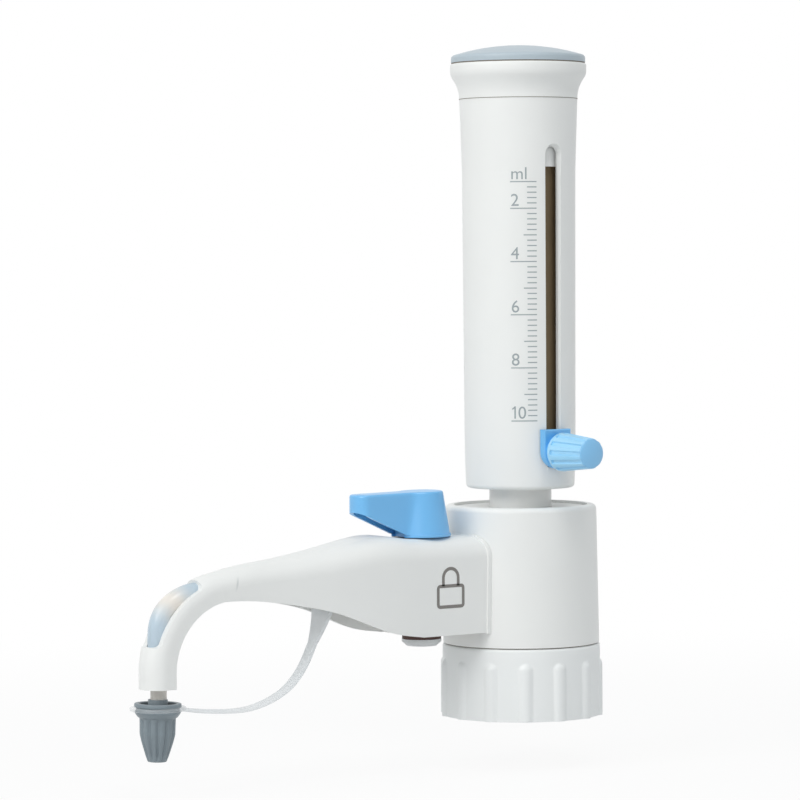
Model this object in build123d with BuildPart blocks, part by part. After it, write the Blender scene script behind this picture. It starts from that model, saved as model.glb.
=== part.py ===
# Bottle-top dispenser: a 10 ml piston dispenser that screws onto a 45 mm reagent bottle.
# Millimetres. +Z is up, the origin is the middle of the nut's mouth, the arm points along -X
# and the volume slot faces -Y.
import os
from math import cos, hypot, radians, sin, sqrt

from build123d import *

os.makedirs("parts", exist_ok=True)

# Dosing: what the bore and the stroke deliver
bore_radius = 6.0
stroke = 88.4

# Clearances
run_gap = 0.05
ring_gap = 0.02
fit_gap = 0.1
slide_gap = 0.3

# Bottle nut
nut_height = 24.2
nut_radius_top = 26.6
nut_radius_low = 26.9
rib_count = 14
rib_reach = 27.7
rib_round = 3.0
rib_top = 20.0
rib_angle = 235.6
thread_radius = 22.75
thread_depth = 16.0
nut_web = 3.4
nut_edge = 0.6

# Body cover
seam_gap = 0.3
cover_radius_low = 26.4
cover_radius_top = 25.6
cover_top = 71.0
cover_wall = 2.4
cover_web = 3.2
cover_edge = 1.7
recess_depth = 0.9
recess_radius = 22.6
neck_hole_gap = 0.2

# Valve block inside the body
shank_radius = 13.9
block_radius = 14.5
block_flange = 3.0
ring_radius = 20.5
ring_height = 3.0
seal_height = 1.5
seal_bore = 12.2
channel_radius = 2.2
channel_height = 47.0

# Filling valve
inlet_radius = 8.8
inlet_depth = 12.0
inlet_flange = 11.4
inlet_flange_height = 3.6
nipple_radius = 3.9
nipple_foot = 2.5
nipple_bore = 1.8
nipple_lead = 1.5
nipple_lead_depth = 0.5
inlet_ball_radius = 3.0
chamber_radius = 4.2
seat_foot = 19.0
ball_lift = 1.0
cage_radius = 6.5
cage_height = 2.0
cage_port = 1.3
inlet_seal_height = 20.0
inlet_seal_wire = 0.7

# Glass cylinder, neck and guide tube
cylinder_wall = 2.0
cylinder_foot = 54.0
cylinder_spare = 13.6
gasket_height = 1.0
neck_radius = 10.5
neck_foot = 57.0
neck_top = 84.0
neck_flange = 5.0
neck_lip = 1.2
guide_radius = 14.6
guide_wall = 1.4
collar_radius = 16.2
collar_height = 10.5

# Piston
piston_length = 10.0
piston_edge = 0.4
rod_radius = 3.6
rod_tip_radius = 2.4
rod_tip_length = 6.0
groove_height = 1.2
groove_depth = 0.9
groove_inset = 1.4
rod_thread_radius = 2.8
rod_thread_length = 5.0
rod_nut_radius = 6.0
rod_nut_height = 4.0

# Outer sleeve
sleeve_rise = 5.7
sleeve_radius_foot = 18.3
sleeve_radius_low = 18.7
sleeve_radius_high = 19.1
sleeve_radius_top = 19.9
sleeve_foot_taper = 13.3
sleeve_flare_length = 24.4
sleeve_bore_low = 16.5
sleeve_bore_top = 17.2
sleeve_edge = 1.4
slot_width = 5.3
slot_rise = 6.7
slot_spare = 6.6
slot_cover = 16.3
slot_bevel = 0.45
slot_bevel_angle = 30.0

# Sleeve head and cap
head_radius = 22.95
head_foot_radius = 19.95
head_flare = 7.9
head_rim = 4.1
head_edge = 0.8
head_swell = (1.25, 1.5)
head_swell_lean = 0.6
head_bore = 16.5
spigot_length = 9.0
spigot_bore = 15.2
head_web = 3.6
cap_radius = 22.6
cap_seat_radius = 21.4
cap_rim = 1.3
cap_shoulder = 1.0
cap_rim_round = 1.3
cap_crown = 5.8
cap_spigot = 5.4
cap_spigot_wall = 1.8
cap_hollow = 3.0

# Volume slider and its clamping knob
slider_rise = 7.5
slider_half = 5.65
slider_face = 20.8
slider_bore = 19.3
slider_edge = 0.4
slider_boss = 5.0
block_drop = 0.85
knob_rise = 6.0
knob_base = 23.0
knob_length = 16.0
knob_radius_base = 6.4
knob_radius_end = 5.1
knob_rim = 1.3
knob_dome = 0.7
knob_end_edge = 0.5
flute_count = 12
flute_radius = 0.95
flute_start = 0.15
screw_radius = 2.0
screw_tip = 0.35
screw_grip = 7.0
stop_half = 5.0
stop_length = 11.5

# Arm: a channel-shaped housing, open underneath and bent down to the spout
arm_wall = 1.6
arm_start = 18.0
bend_x = 119.5
bend_z = 23.5
bend_outer = 31.0
bend_inner = 22.0
bend_start = 9.5
bend_turn = 80.5
spout_half = 6.1
spout_corner = 5.4
spout_foot = 18.5
arm_open = 3.0
lip_width = 1.2
lip_height = 0.35
window_radius = 28.4
window_start = 22.0
window_end = 74.0
window_corner = 2.2
window_reach = 37.0
arm_boss_radius = 2.8
rib_start = 82.5
rib_end = 84.1
arm_rib_foot = 40.2
arm_rib_top = 59.4
arm_rib_half = 9.4

# Each section of the arm: foot (distance out, height), top (distance out, height), half width, corner
arm_sections = [
    ((50.0, 29.8), (50.0, 61.8), 13.0, 7.0),
    ((56.0, 30.6), (56.0, 62.6), 12.95, 7.5),
    ((62.0, 31.9), (62.0, 63.1), 12.7, 8.0),
    ((70.0, 34.8), (70.0, 62.3), 12.1, 8.0),
    ((80.0, 38.7), (80.5, 60.4), 11.0, 7.5),
    ((92.0, 41.8), (93.0, 58.4), 9.3, 6.8),
    ((104.0, 43.85), (105.0, 57.0), 7.6, 6.1),
    ((114.0, 45.0), (115.5, 55.85), 6.6, 5.7),
]

# Recirculation valve and its lever
valve_x = 41.6
plug_radius = 4.5
neck_step_radius = 4.0
drive_side = 5.0
drive_height = 8.0
tail_radius = 2.4
tail_depth = 1.2
skirt_radius = 9.95
skirt_foot = 62.1
skirt_height = 0.9
hub_radius_low = 9.5
hub_radius_top = 7.1
lever_top = 77.1
lever_end = 66.4
lever_half = 4.75
lever_corner = 1.2
lever_wall = 1.3
lever_roof = 1.6
lever_edge = 0.6
lever_slope_x = 51.8
lever_slope_z = 63.4
lever_slope_rise = 0.44
hub_core = 5.2
retainer_radius = 6.6
retainer_foot_radius = 5.0
retainer_height = 2.3
retainer_bevel = 1.4
band_radius = 6.5
band_height = 1.8

# Discharge side
outlet_half = 9.0
outlet_top = 58.6
outlet_foot = 29.9
outlet_end = 50.0
outlet_face = 13.0
outlet_ball_radius = 2.5
outlet_seat_x = 26.0
seat_mouth = 2.9
seat_bore = 1.4
outlet_bore = 3.6
spring_end = 36.0
spring_radius = 1.9
spring_wire = 0.3
spring_turns = 4
tube_radius = 2.6
tube_bore = 1.4
tube_socket = 46.8
tube_end = 5.5
nozzle_x = 144.5
tube_points = [
    (tube_socket, channel_height),
    (104.0, channel_height),
    (127.4, 47.9),
    (142.6, 44.3),
    (nozzle_x, 30.0),
    (nozzle_x, tube_end),
]
tube_bends = [100.0, 20.0, 7.0, 14.0]
sheath_radius = 3.3
sheath_start = 124.0
sheath_end = 22.4
tube_nut_radius = 4.9
tube_nut_length = 6.0
bush_foot = 19.0
bush_height = 3.0
tab_end = 64.0
tab_height = 3.5
tab_half = 9.0
tab_top = 41.5
face_seal_radius = 5.8
face_seal_width = 1.4
face_seal_depth = 1.0
screw_x = 60.0
screw_spread = 6.6
housing_screw_radius = 1.3
housing_screw_bite = 8.0
screw_head_radius = 2.4
screw_head_height = 1.6

# Nozzle cap and its strap
cap_cup_top = 14.0
flange_foot = 12.8
groove_foot = 11.6
low_flange_edge = 11.0
cap_rim_radius = 7.5
cap_groove_radius = 6.9
low_flange_radius = 7.3
low_flange_root = 6.2
cup_radius = 5.9
cup_foot = 10.4
cap_bush_radius = 3.15
cap_bush_top = 15.2
tube_rest = 0.4
grip_count = 12
grip_flute_depth = 0.45
grip_flute_width = 1.5
grip_profile = [(5.85, 9.5), (5.75, 4.2), (5.15, 1.7), (3.75, -2.7), (3.0, -4.6)]
strap_thickness = 1.2
strap_half = 2.5
strap_tab_half = 5.4
strap_flare_foot = 29.5
strap_flare_top = 39.5
strap_ring_radius = 9.0
strap_top = 44.0
strap_pin_height = 41.9
strap_pin_spread = 3.3
strap_pin_radius = 0.9
strap_pin_head = 1.6
strap_pin_cap = 0.8
strap_corner = 2.0
strap_steps = 24
strap_start_lean = (-1.0, -0.1)
strap_line = [
    (136.5, 12.2),
    (132.6, 11.2),
    (121.3, 10.1),
    (111.4, 9.7),
    (102.9, 12.0),
    (96.9, 14.8),
    (93.4, 17.8),
    (90.8, 20.8),
    (88.8, 23.9),
    (87.2, 27.1),
    (85.6, 30.2),
    (84.2, 33.4),
    (82.9, 36.8),
]

cover_foot = nut_height + seam_gap
body_seat = cover_foot + fit_gap
block_top = cover_top - cover_web
cylinder_radius = bore_radius + cylinder_wall
gasket_foot = cylinder_foot - gasket_height
ring_top = nut_height - nut_web - slide_gap
shank_foot = ring_top - ring_height
inlet_top = shank_foot + inlet_depth
cylinder_length = stroke + piston_length + cylinder_spare
sleeve_foot = cover_top + sleeve_rise
slot_foot = sleeve_foot + slot_rise
knob_height = slot_foot + knob_rise
stop_foot = slot_foot + block_drop + slide_gap
stop_top = stop_foot + stop_length
stop_height = stop_top + run_gap + stroke
guide_top = stop_height + collar_height
slot_head = stop_height + slot_spare
sleeve_top = slot_head + slot_cover
head_rim_foot = sleeve_top + head_flare
head_top = head_rim_foot + head_rim
rod_thread_end = sleeve_top + rod_thread_length
web_foot = sleeve_top - head_web
spigot_radius = sleeve_bore_top - fit_gap
piston_foot = cylinder_foot + run_gap
piston_radius = bore_radius - run_gap

# Planes: the arm's side view, with distance out along local x and height along local y
arm_side = Plane(origin=(0, 0, 0), x_dir=(-1, 0, 0), z_dir=(0, 1, 0))


def level(height):
    """Horizontal plane at a height."""
    return Plane.XY.offset(height)


def facing_slot(distance):
    """Upright plane at a distance out from the axis on the slot's side, facing out."""
    return Plane(origin=(0, -distance, 0), x_dir=(1, 0, 0), z_dir=(0, -1, 0))


def facing_arm(distance):
    """Upright plane at a distance out from the axis on the arm's side, facing out."""
    return Plane(origin=(-distance, 0, 0), x_dir=(0, -1, 0), z_dir=(-1, 0, 0))


def turned(points):
    """Solid turned about Z from a closed outline of (radius, height) points."""
    with BuildPart() as body:
        with BuildSketch(Plane.XZ):
            with BuildLine():
                Polyline(*points, close=True)
            make_face()
        revolve(axis=Axis.Z)
    return body.part


def ring(outer, inner, low, high):
    """Outline of a plain ring between two heights."""
    return [(inner, low), (outer, low), (outer, high), (inner, high)]


def cover_cone(grow, high):
    """Outline of a solid that follows the body cover's side at a distance."""
    return [
        (0, 0),
        (cover_radius_low + grow, 0),
        (cover_radius_low + grow, cover_foot),
        (cover_radius_top + grow, cover_top),
        (cover_radius_top + grow, high),
        (0, high),
    ]


def arch(foot, top, half, corner, inset=0.0, reach=0.0):
    """Upright face with rounded top corners, from its foot and top in the arm's side view."""
    rise = hypot(top[0] - foot[0], top[1] - foot[1])
    lean_x = (top[0] - foot[0]) / rise
    lean_z = (top[1] - foot[1]) / rise
    plane = Plane(origin=(-foot[0], 0, foot[1]), x_dir=(0, -1, 0), z_dir=(-lean_z, 0, -lean_x))
    with BuildSketch(plane) as face:
        with Locations((0, (rise - inset - reach) / 2)):
            Rectangle(2 * (half - inset), rise - inset + reach)
        fillet(face.vertices().group_by(Axis.Y)[-1], corner - inset)
    return face.sketch


def bend_point(radius, angle):
    """Point of the arm's bend in the side view, the angle measured from straight up."""
    return (bend_x + radius * sin(radians(angle)), bend_z + radius * cos(radians(angle)))


def arm_solid(inset, reach):
    """Arm as a solid, or its inside when there is an inset, from the body to the spout's foot."""
    first = arm_sections[0]
    turn_foot = bend_point(bend_inner, bend_start)
    turn_top = bend_point(bend_outer, bend_start)
    sections = arm_sections + [(turn_foot, turn_top, spout_half, spout_corner)]
    faces = [arch(*section, inset, reach) for section in sections]
    with BuildPart() as solid:
        extrude(faces[0], amount=arm_start - first[0][0])
        loft(sections=faces)
        revolve(faces[-1], axis=Axis((-bend_x, 0, bend_z), (0, -1, 0)), revolution_arc=bend_turn)
        spout_inner = bend_point(bend_inner, 90)
        spout_outer = bend_point(bend_outer, 90)
        spout_face = arch(spout_inner, spout_outer, spout_half, spout_corner, inset, reach)
        extrude(spout_face, amount=bend_z - spout_foot + reach)
    return solid.part


# Bottle nut: ribbed outside, thread bore below, and a web above that the retaining ring holds
with BuildPart() as thread_nut:
    add(turned([(0, 0), (nut_radius_low, 0), (nut_radius_top, nut_height), (0, nut_height)]))
    fillet(thread_nut.edges().sort_by(Axis.Z)[-1], nut_edge)
    rib_centre = rib_reach - rib_round
    rib_rise = rib_top - rib_round
    with Locations((0, 0, rib_rise / 2)):
        with PolarLocations(rib_centre, rib_count, start_angle=rib_angle):
            Cylinder(rib_round, rib_rise)
    with Locations((0, 0, rib_rise)):
        with PolarLocations(rib_centre, rib_count, start_angle=rib_angle):
            Sphere(rib_round)
    nut_web_foot = nut_height - nut_web
    relief_radius = ring_radius + 2 * slide_gap
    add(turned(ring(thread_radius, 0, -1, thread_depth)), mode=Mode.SUBTRACT)
    add(turned(ring(relief_radius, 0, thread_depth - 1, nut_web_foot)), mode=Mode.SUBTRACT)
    add(turned(ring(shank_radius + slide_gap, 0, nut_web_foot - 1, nut_height + 1)), mode=Mode.SUBTRACT)
thread_nut.part.label = "thread_nut"
export_step(thread_nut.part, "parts/thread_nut.step")

# Valve block: the body's core, with the shank, the cover's flange and the cylinder's socket
flange_radius = cover_radius_low - cover_wall - fit_gap
with BuildPart() as valve_block:
    block_outline = [
        (0, shank_foot),
        (shank_radius, shank_foot),
        (shank_radius, body_seat),
        (flange_radius, body_seat),
        (flange_radius, body_seat + block_flange),
        (block_radius, body_seat + block_flange),
        (block_radius, block_top),
        (0, block_top),
    ]
    add(turned(block_outline))
    add(turned(ring(neck_radius, 0, neck_foot, block_top + 1)), mode=Mode.SUBTRACT)
    add(turned(ring(cylinder_radius, 0, gasket_foot, neck_foot + 1)), mode=Mode.SUBTRACT)
    add(turned(ring(inlet_radius, 0, shank_foot - 1, inlet_top)), mode=Mode.SUBTRACT)
    add(turned(ring(channel_radius, 0, inlet_top - 1, gasket_foot + 1)), mode=Mode.SUBTRACT)
    flat_foot = body_seat + block_flange
    with BuildSketch(facing_arm(outlet_face)):
        with Locations((0, (flat_foot + block_top + 1) / 2)):
            Rectangle(2 * block_radius, block_top + 1 - flat_foot)
    extrude(amount=block_radius, mode=Mode.SUBTRACT)
    with BuildSketch(facing_arm(0)):
        with Locations((0, channel_height)):
            Circle(channel_radius)
    extrude(amount=block_radius, mode=Mode.SUBTRACT)
valve_block.part.label = "valve_block"
export_step(valve_block.part, "parts/valve_block.step")

# Retaining ring on the shank, and the flat seal that the bottle's mouth meets
with BuildPart() as retaining_ring:
    add(turned(ring(ring_radius, shank_radius, shank_foot, ring_top)))
retaining_ring.part.label = "retaining_ring"
export_step(retaining_ring.part, "parts/retaining_ring.step")

with BuildPart() as bottle_seal:
    add(turned(ring(ring_radius, seal_bore, shank_foot - seal_height, shank_foot)))
bottle_seal.part.label = "bottle_seal"
export_step(bottle_seal.part, "parts/bottle_seal.step")

# Filling valve: body with the nipple for a filling tube, ball, cage and seal
seat_apex = seat_foot - nipple_bore
inlet_ball_height = seat_apex + (inlet_ball_radius + ring_gap) * sqrt(2)
cage_foot = inlet_ball_height + inlet_ball_radius + ball_lift + ring_gap
cage_top = cage_foot + cage_height
with BuildPart() as filling_valve_body:
    valve_outline = [
        (0, nipple_foot),
        (nipple_radius - nipple_lead_depth, nipple_foot),
        (nipple_radius, nipple_foot + nipple_lead),
        (nipple_radius, shank_foot - inlet_flange_height),
        (inlet_flange, shank_foot - inlet_flange_height),
        (inlet_flange, shank_foot),
        (inlet_radius - fit_gap, shank_foot),
        (inlet_radius - fit_gap, cage_top),
        (0, cage_top),
    ]
    add(turned(valve_outline))
    bore_outline = [
        (0, nipple_foot - 1),
        (nipple_bore, nipple_foot - 1),
        (nipple_bore, seat_foot),
        (chamber_radius, seat_apex + chamber_radius),
        (chamber_radius, cage_foot),
        (cage_radius, cage_foot),
        (cage_radius, cage_top + 1),
        (0, cage_top + 1),
    ]
    add(turned(bore_outline), mode=Mode.SUBTRACT)
    with Locations((0, 0, inlet_seal_height)):
        Torus(inlet_radius - inlet_seal_wire, inlet_seal_wire, mode=Mode.SUBTRACT)
filling_valve_body.part.label = "filling_valve_body"
export_step(filling_valve_body.part, "parts/filling_valve_body.step")

with BuildPart() as inlet_seal:
    with Locations((0, 0, inlet_seal_height)):
        Torus(inlet_radius - inlet_seal_wire, inlet_seal_wire)
inlet_seal.part.label = "inlet_seal"
export_step(inlet_seal.part, "parts/inlet_seal.step")

with BuildPart() as filling_ball:
    with Locations((0, 0, inlet_ball_height)):
        Sphere(inlet_ball_radius)
filling_ball.part.label = "filling_ball"
export_step(filling_ball.part, "parts/filling_ball.step")

with BuildPart() as filling_cage:
    with BuildSketch(level(cage_foot)):
        Circle(cage_radius)
        with PolarLocations(chamber_radius - cage_port, 3):
            Circle(cage_port, mode=Mode.SUBTRACT)
    extrude(amount=cage_height)
filling_cage.part.label = "filling_cage"
export_step(filling_cage.part, "parts/filling_cage.step")

# Body cover: the plain cylinder round the valve block
with BuildPart() as body_cover:
    cover_outline = [
        (0, cover_foot),
        (cover_radius_low, cover_foot),
        (cover_radius_top, cover_top),
        (0, cover_top),
    ]
    add(turned(cover_outline))
    fillet(body_cover.edges().sort_by(Axis.Z)[-1], cover_edge)
    inside = [
        (0, -1),
        (cover_radius_low - cover_wall, -1),
        (cover_radius_low - cover_wall, cover_foot + 6),
        (cover_radius_top - cover_wall, block_top),
        (0, block_top),
    ]
    add(turned(inside), mode=Mode.SUBTRACT)
    add(turned(ring(recess_radius, 0, cover_top - recess_depth, cover_top + 1)), mode=Mode.SUBTRACT)
    add(turned(ring(neck_radius + neck_hole_gap, 0, block_top - 1, cover_top + 1)), mode=Mode.SUBTRACT)
    with BuildSketch(facing_arm(outlet_face + 2)):
        with Locations((0, (outlet_top + outlet_foot) / 2)):
            Rectangle(2 * (outlet_half + slide_gap), outlet_top - outlet_foot + 2 * slide_gap)
    extrude(amount=cover_radius_low, mode=Mode.SUBTRACT)
body_cover.part.label = "body_cover"
export_step(body_cover.part, "parts/body_cover.step")

# Glass cylinder and its gasket
with BuildPart() as cylinder_gasket:
    add(turned(ring(cylinder_radius, channel_radius, gasket_foot, cylinder_foot)))
cylinder_gasket.part.label = "cylinder_gasket"
export_step(cylinder_gasket.part, "parts/cylinder_gasket.step")

cylinder_top = cylinder_foot + cylinder_length
with BuildPart() as glass_cylinder:
    add(turned(ring(cylinder_radius, bore_radius, cylinder_foot, cylinder_top)))
glass_cylinder.part.label = "glass_cylinder"
export_step(glass_cylinder.part, "parts/glass_cylinder.step")

# Neck that clamps the cylinder and carries the guide tube
flange_foot_height = neck_top - neck_flange
guide_bore = guide_radius - guide_wall
with BuildPart() as cylinder_neck:
    neck_bore = cylinder_radius + fit_gap
    neck_outline = [
        (neck_bore, neck_foot),
        (neck_radius, neck_foot),
        (neck_radius, flange_foot_height - neck_lip),
        (guide_radius, flange_foot_height - neck_lip),
        (guide_radius, flange_foot_height),
        (guide_bore, flange_foot_height),
        (guide_bore, neck_top),
        (neck_bore, neck_top),
    ]
    add(turned(neck_outline))
cylinder_neck.part.label = "cylinder_neck"
export_step(cylinder_neck.part, "parts/cylinder_neck.step")

with BuildPart() as guide_tube:
    add(turned(ring(guide_radius, guide_bore, flange_foot_height, guide_top)))
guide_tube.part.label = "guide_tube"
export_step(guide_tube.part, "parts/guide_tube.step")

with BuildPart() as stop_collar:
    add(turned(ring(collar_radius, guide_radius, stop_height, guide_top)))
stop_collar.part.label = "stop_collar"
export_step(stop_collar.part, "parts/stop_collar.step")

# Piston: head with two rings, on a rod that hangs from the sleeve's head
piston_top = piston_foot + piston_length
groove_radius = piston_radius - groove_depth
low_groove = piston_foot + groove_inset
high_groove = piston_top - groove_inset - groove_height
with BuildPart() as piston_head:
    add(turned(ring(piston_radius, 0, piston_foot, piston_top)))
    chamfer(piston_head.edges().group_by(Axis.Z)[0], piston_edge)
    for groove in (low_groove, high_groove):
        add(turned(ring(bore_radius, groove_radius, groove, groove + groove_height)), mode=Mode.SUBTRACT)
    add(turned(ring(rod_tip_radius, 0, piston_top - rod_tip_length, piston_top + 1)), mode=Mode.SUBTRACT)
piston_head.part.label = "piston_head"
export_step(piston_head.part, "parts/piston_head.step")

with BuildPart() as piston_ring_low:
    add(turned(ring(bore_radius - ring_gap, groove_radius, low_groove, low_groove + groove_height)))
piston_ring_low.part.label = "piston_ring_low"
export_step(piston_ring_low.part, "parts/piston_ring_low.step")

with BuildPart() as piston_ring_high:
    add(turned(ring(bore_radius - ring_gap, groove_radius, high_groove, high_groove + groove_height)))
piston_ring_high.part.label = "piston_ring_high"
export_step(piston_ring_high.part, "parts/piston_ring_high.step")

with BuildPart() as piston_rod:
    rod_outline = [
        (0, piston_top - rod_tip_length),
        (rod_tip_radius, piston_top - rod_tip_length),
        (rod_tip_radius, piston_top),
        (rod_radius, piston_top),
        (rod_radius, web_foot),
        (rod_thread_radius, web_foot),
        (rod_thread_radius, rod_thread_end),
        (0, rod_thread_end),
    ]
    add(turned(rod_outline))
piston_rod.part.label = "piston_rod"
export_step(piston_rod.part, "parts/piston_rod.step")

with BuildPart() as rod_nut:
    with BuildSketch(level(sleeve_top)):
        RegularPolygon(rod_nut_radius, 6)
        Circle(rod_thread_radius, mode=Mode.SUBTRACT)
    extrude(amount=rod_nut_height)
rod_nut.part.label = "rod_nut"
export_step(rod_nut.part, "parts/rod_nut.step")

# Outer sleeve with the volume slot
with BuildPart() as outer_sleeve:
    sleeve_outline = [
        (sleeve_bore_low, sleeve_foot),
        (sleeve_radius_foot, sleeve_foot),
        (sleeve_radius_low, sleeve_foot + sleeve_foot_taper),
        (sleeve_radius_high, sleeve_top - sleeve_flare_length),
        (sleeve_radius_top, sleeve_top),
        (sleeve_bore_top, sleeve_top),
    ]
    add(turned(sleeve_outline))
    foot_edges = outer_sleeve.edges().filter_by(GeomType.CIRCLE).group_by(Axis.Z)[0]
    fillet(foot_edges.sort_by(SortBy.LENGTH)[-1], sleeve_edge)
    with BuildSketch(facing_slot(0)):
        with Locations((0, (slot_head + slot_foot) / 2)):
            SlotOverall(slot_head - slot_foot, slot_width, rotation=90)
    extrude(amount=2 * sleeve_radius_top, mode=Mode.SUBTRACT)
    with BuildSketch(facing_slot(sleeve_radius_high - 3 * slot_bevel)):
        with Locations((0, (slot_head + slot_foot) / 2)):
            SlotOverall(slot_head - slot_foot, slot_width, rotation=90)
    extrude(amount=4 * slot_bevel, taper=-slot_bevel_angle, mode=Mode.SUBTRACT)
outer_sleeve.part.label = "outer_sleeve"
export_step(outer_sleeve.part, "parts/outer_sleeve.step")

# Sleeve head: flared flange, web for the piston rod and spigot into the sleeve
with BuildPart() as sleeve_head:
    with BuildSketch(Plane.XZ):
        with BuildLine():
            start = (head_foot_radius, sleeve_top)
            swell = Spline(
                start,
                (head_foot_radius + head_swell[0], (sleeve_top + head_rim_foot) / 2 + head_swell[1]),
                (head_radius, head_rim_foot),
                tangents=[(0, 1), (head_swell_lean, 1)],
            )
            Polyline(
                swell @ 1,
                (head_radius, head_top),
                (head_bore, head_top),
                (head_bore, sleeve_top),
                (rod_thread_radius, sleeve_top),
                (rod_thread_radius, web_foot),
                (spigot_bore, web_foot),
                (spigot_bore, sleeve_top - spigot_length),
                (spigot_radius, sleeve_top - spigot_length),
                (spigot_radius, sleeve_top),
                start,
            )
        make_face()
    revolve(axis=Axis.Z)
    rim_edges = sleeve_head.edges().filter_by(GeomType.CIRCLE).group_by(Axis.Z)[-1]
    fillet(rim_edges.sort_by(SortBy.LENGTH)[-1], head_edge)
sleeve_head.part.label = "sleeve_head"
export_step(sleeve_head.part, "parts/sleeve_head.step")

# Cap that closes the sleeve's head
cap_edge_top = head_top + seam_gap + cap_rim
with BuildPart() as top_cap:
    with BuildSketch(Plane.XZ):
        with BuildLine():
            shoulder = (cap_radius - cap_shoulder, cap_edge_top + cap_rim_round)
            crown = (0, head_top + seam_gap + cap_crown)
            TangentArc((cap_radius, cap_edge_top), shoulder, tangent=(0, 1))
            TangentArc(crown, shoulder, tangent=(1, 0))
            Polyline(
                crown,
                (0, head_top + cap_hollow),
                (head_bore - cap_spigot_wall, head_top + cap_hollow),
                (head_bore - cap_spigot_wall, head_top - cap_spigot),
                (head_bore, head_top - cap_spigot),
                (head_bore, head_top),
                (cap_seat_radius, head_top),
                (cap_seat_radius, head_top + seam_gap),
                (cap_radius, head_top + seam_gap),
                (cap_radius, cap_edge_top),
            )
        make_face()
    revolve(axis=Axis.Z)
top_cap.part.label = "top_cap"
export_step(top_cap.part, "parts/top_cap.step")

# Volume slider: plate on the sleeve, block through the slot and stop inside
with BuildPart() as slider_plate:
    with BuildSketch(facing_slot(0)):
        with Locations((0, knob_height + slider_rise / 2)):
            Rectangle(2 * slider_half, slider_rise)
        with Locations((0, knob_height)):
            Circle(slider_half)
    extrude(amount=slider_face)
    chamfer(slider_plate.edges().group_by(Axis.Y)[0], slider_edge)
    add(turned(ring(slider_bore, 0, 0, guide_top)), mode=Mode.SUBTRACT)
    with BuildSketch(facing_slot(slider_face)):
        with Locations((0, knob_height)):
            Circle(slider_boss)
    extrude(amount=knob_base - run_gap - slider_face)
    with BuildSketch(facing_slot(0)):
        with Locations((0, (stop_foot + stop_top) / 2)):
            SlotOverall(stop_length, slot_width - 2 * slide_gap, rotation=90)
    extrude(amount=slider_face - 1)
    add(turned(ring(collar_radius, 0, 0, guide_top)), mode=Mode.SUBTRACT)
    with BuildSketch(facing_slot(0)):
        with Locations((0, knob_height)):
            Circle(screw_radius + fit_gap)
    extrude(amount=2 * slider_face, mode=Mode.SUBTRACT)
slider_plate.part.label = "slider_plate"
export_step(slider_plate.part, "parts/slider_plate.step")

with BuildPart() as slider_stop:
    with BuildSketch(level(stop_foot)):
        Circle(collar_radius)
        Circle(guide_radius + slide_gap, mode=Mode.SUBTRACT)
        with Locations((0, -collar_radius)):
            Rectangle(2 * stop_half, collar_radius, mode=Mode.INTERSECT)
    extrude(amount=stop_length)
    with BuildSketch(facing_slot(0)):
        with Locations((0, knob_height)):
            Circle(screw_radius + run_gap)
    extrude(amount=slider_face, mode=Mode.SUBTRACT)
slider_stop.part.label = "slider_stop"
export_step(slider_stop.part, "parts/slider_stop.step")

# Clamping knob and its screw
knob_end = knob_base + knob_length
flute_lean = (knob_radius_base - knob_radius_end) / knob_length
with BuildPart() as clamp_knob:
    with BuildSketch(level(knob_height)):
        with BuildLine():
            Polyline(
                (0, -knob_end - knob_dome),
                (knob_radius_end / 2, -knob_end - 3 * knob_dome / 4),
                (knob_radius_end - knob_end_edge, -knob_end),
                (knob_radius_end, -knob_end + knob_end_edge),
                (knob_radius_base, -knob_base - knob_rim),
                (knob_radius_base, -knob_base),
                (0, -knob_base),
                close=True,
            )
        make_face()
    revolve(axis=Axis((0, 0, knob_height), (0, -1, 0)))
    for count in range(flute_count):
        turn = radians(360 * count / flute_count)
        out = Vector(cos(turn), 0, sin(turn))
        start = out * (knob_radius_base + flute_start) + Vector(0, -knob_base - knob_rim, knob_height)
        with BuildSketch(Plane(origin=start, z_dir=Vector(0, -1, 0) - out * flute_lean)):
            Circle(flute_radius)
        extrude(amount=knob_length, mode=Mode.SUBTRACT)
    with BuildSketch(facing_slot(knob_base)):
        with Locations((0, knob_height)):
            Circle(screw_radius)
    extrude(amount=screw_grip, mode=Mode.SUBTRACT)
clamp_knob.part.label = "clamp_knob"
export_step(clamp_knob.part, "parts/clamp_knob.step")

with BuildPart() as knob_screw:
    screw_start = guide_radius + screw_tip
    with BuildSketch(facing_slot(screw_start)):
        with Locations((0, knob_height)):
            Circle(screw_radius)
    extrude(amount=knob_base + screw_grip - screw_start)
    chamfer(knob_screw.edges().sort_by(Axis.Y)[-1], screw_tip)
knob_screw.part.label = "knob_screw"
export_step(knob_screw.part, "parts/knob_screw.step")

# Arm housing: the channel with its lip at the body, screw posts, strap rib and tube window
first_foot, first_top, first_half, first_corner = arm_sections[0]
with BuildPart() as arm_lip:
    lip_foot = (first_foot[0], first_foot[1] - lip_height)
    lip_top = (first_top[0], first_top[1] + lip_height)
    lip_face = arch(lip_foot, lip_top, first_half + lip_height, first_corner)
    extrude(lip_face, amount=arm_start - first_foot[0])
    add(turned(cover_cone(fit_gap + lip_width, 2 * cover_top)), mode=Mode.INTERSECT)

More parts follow.
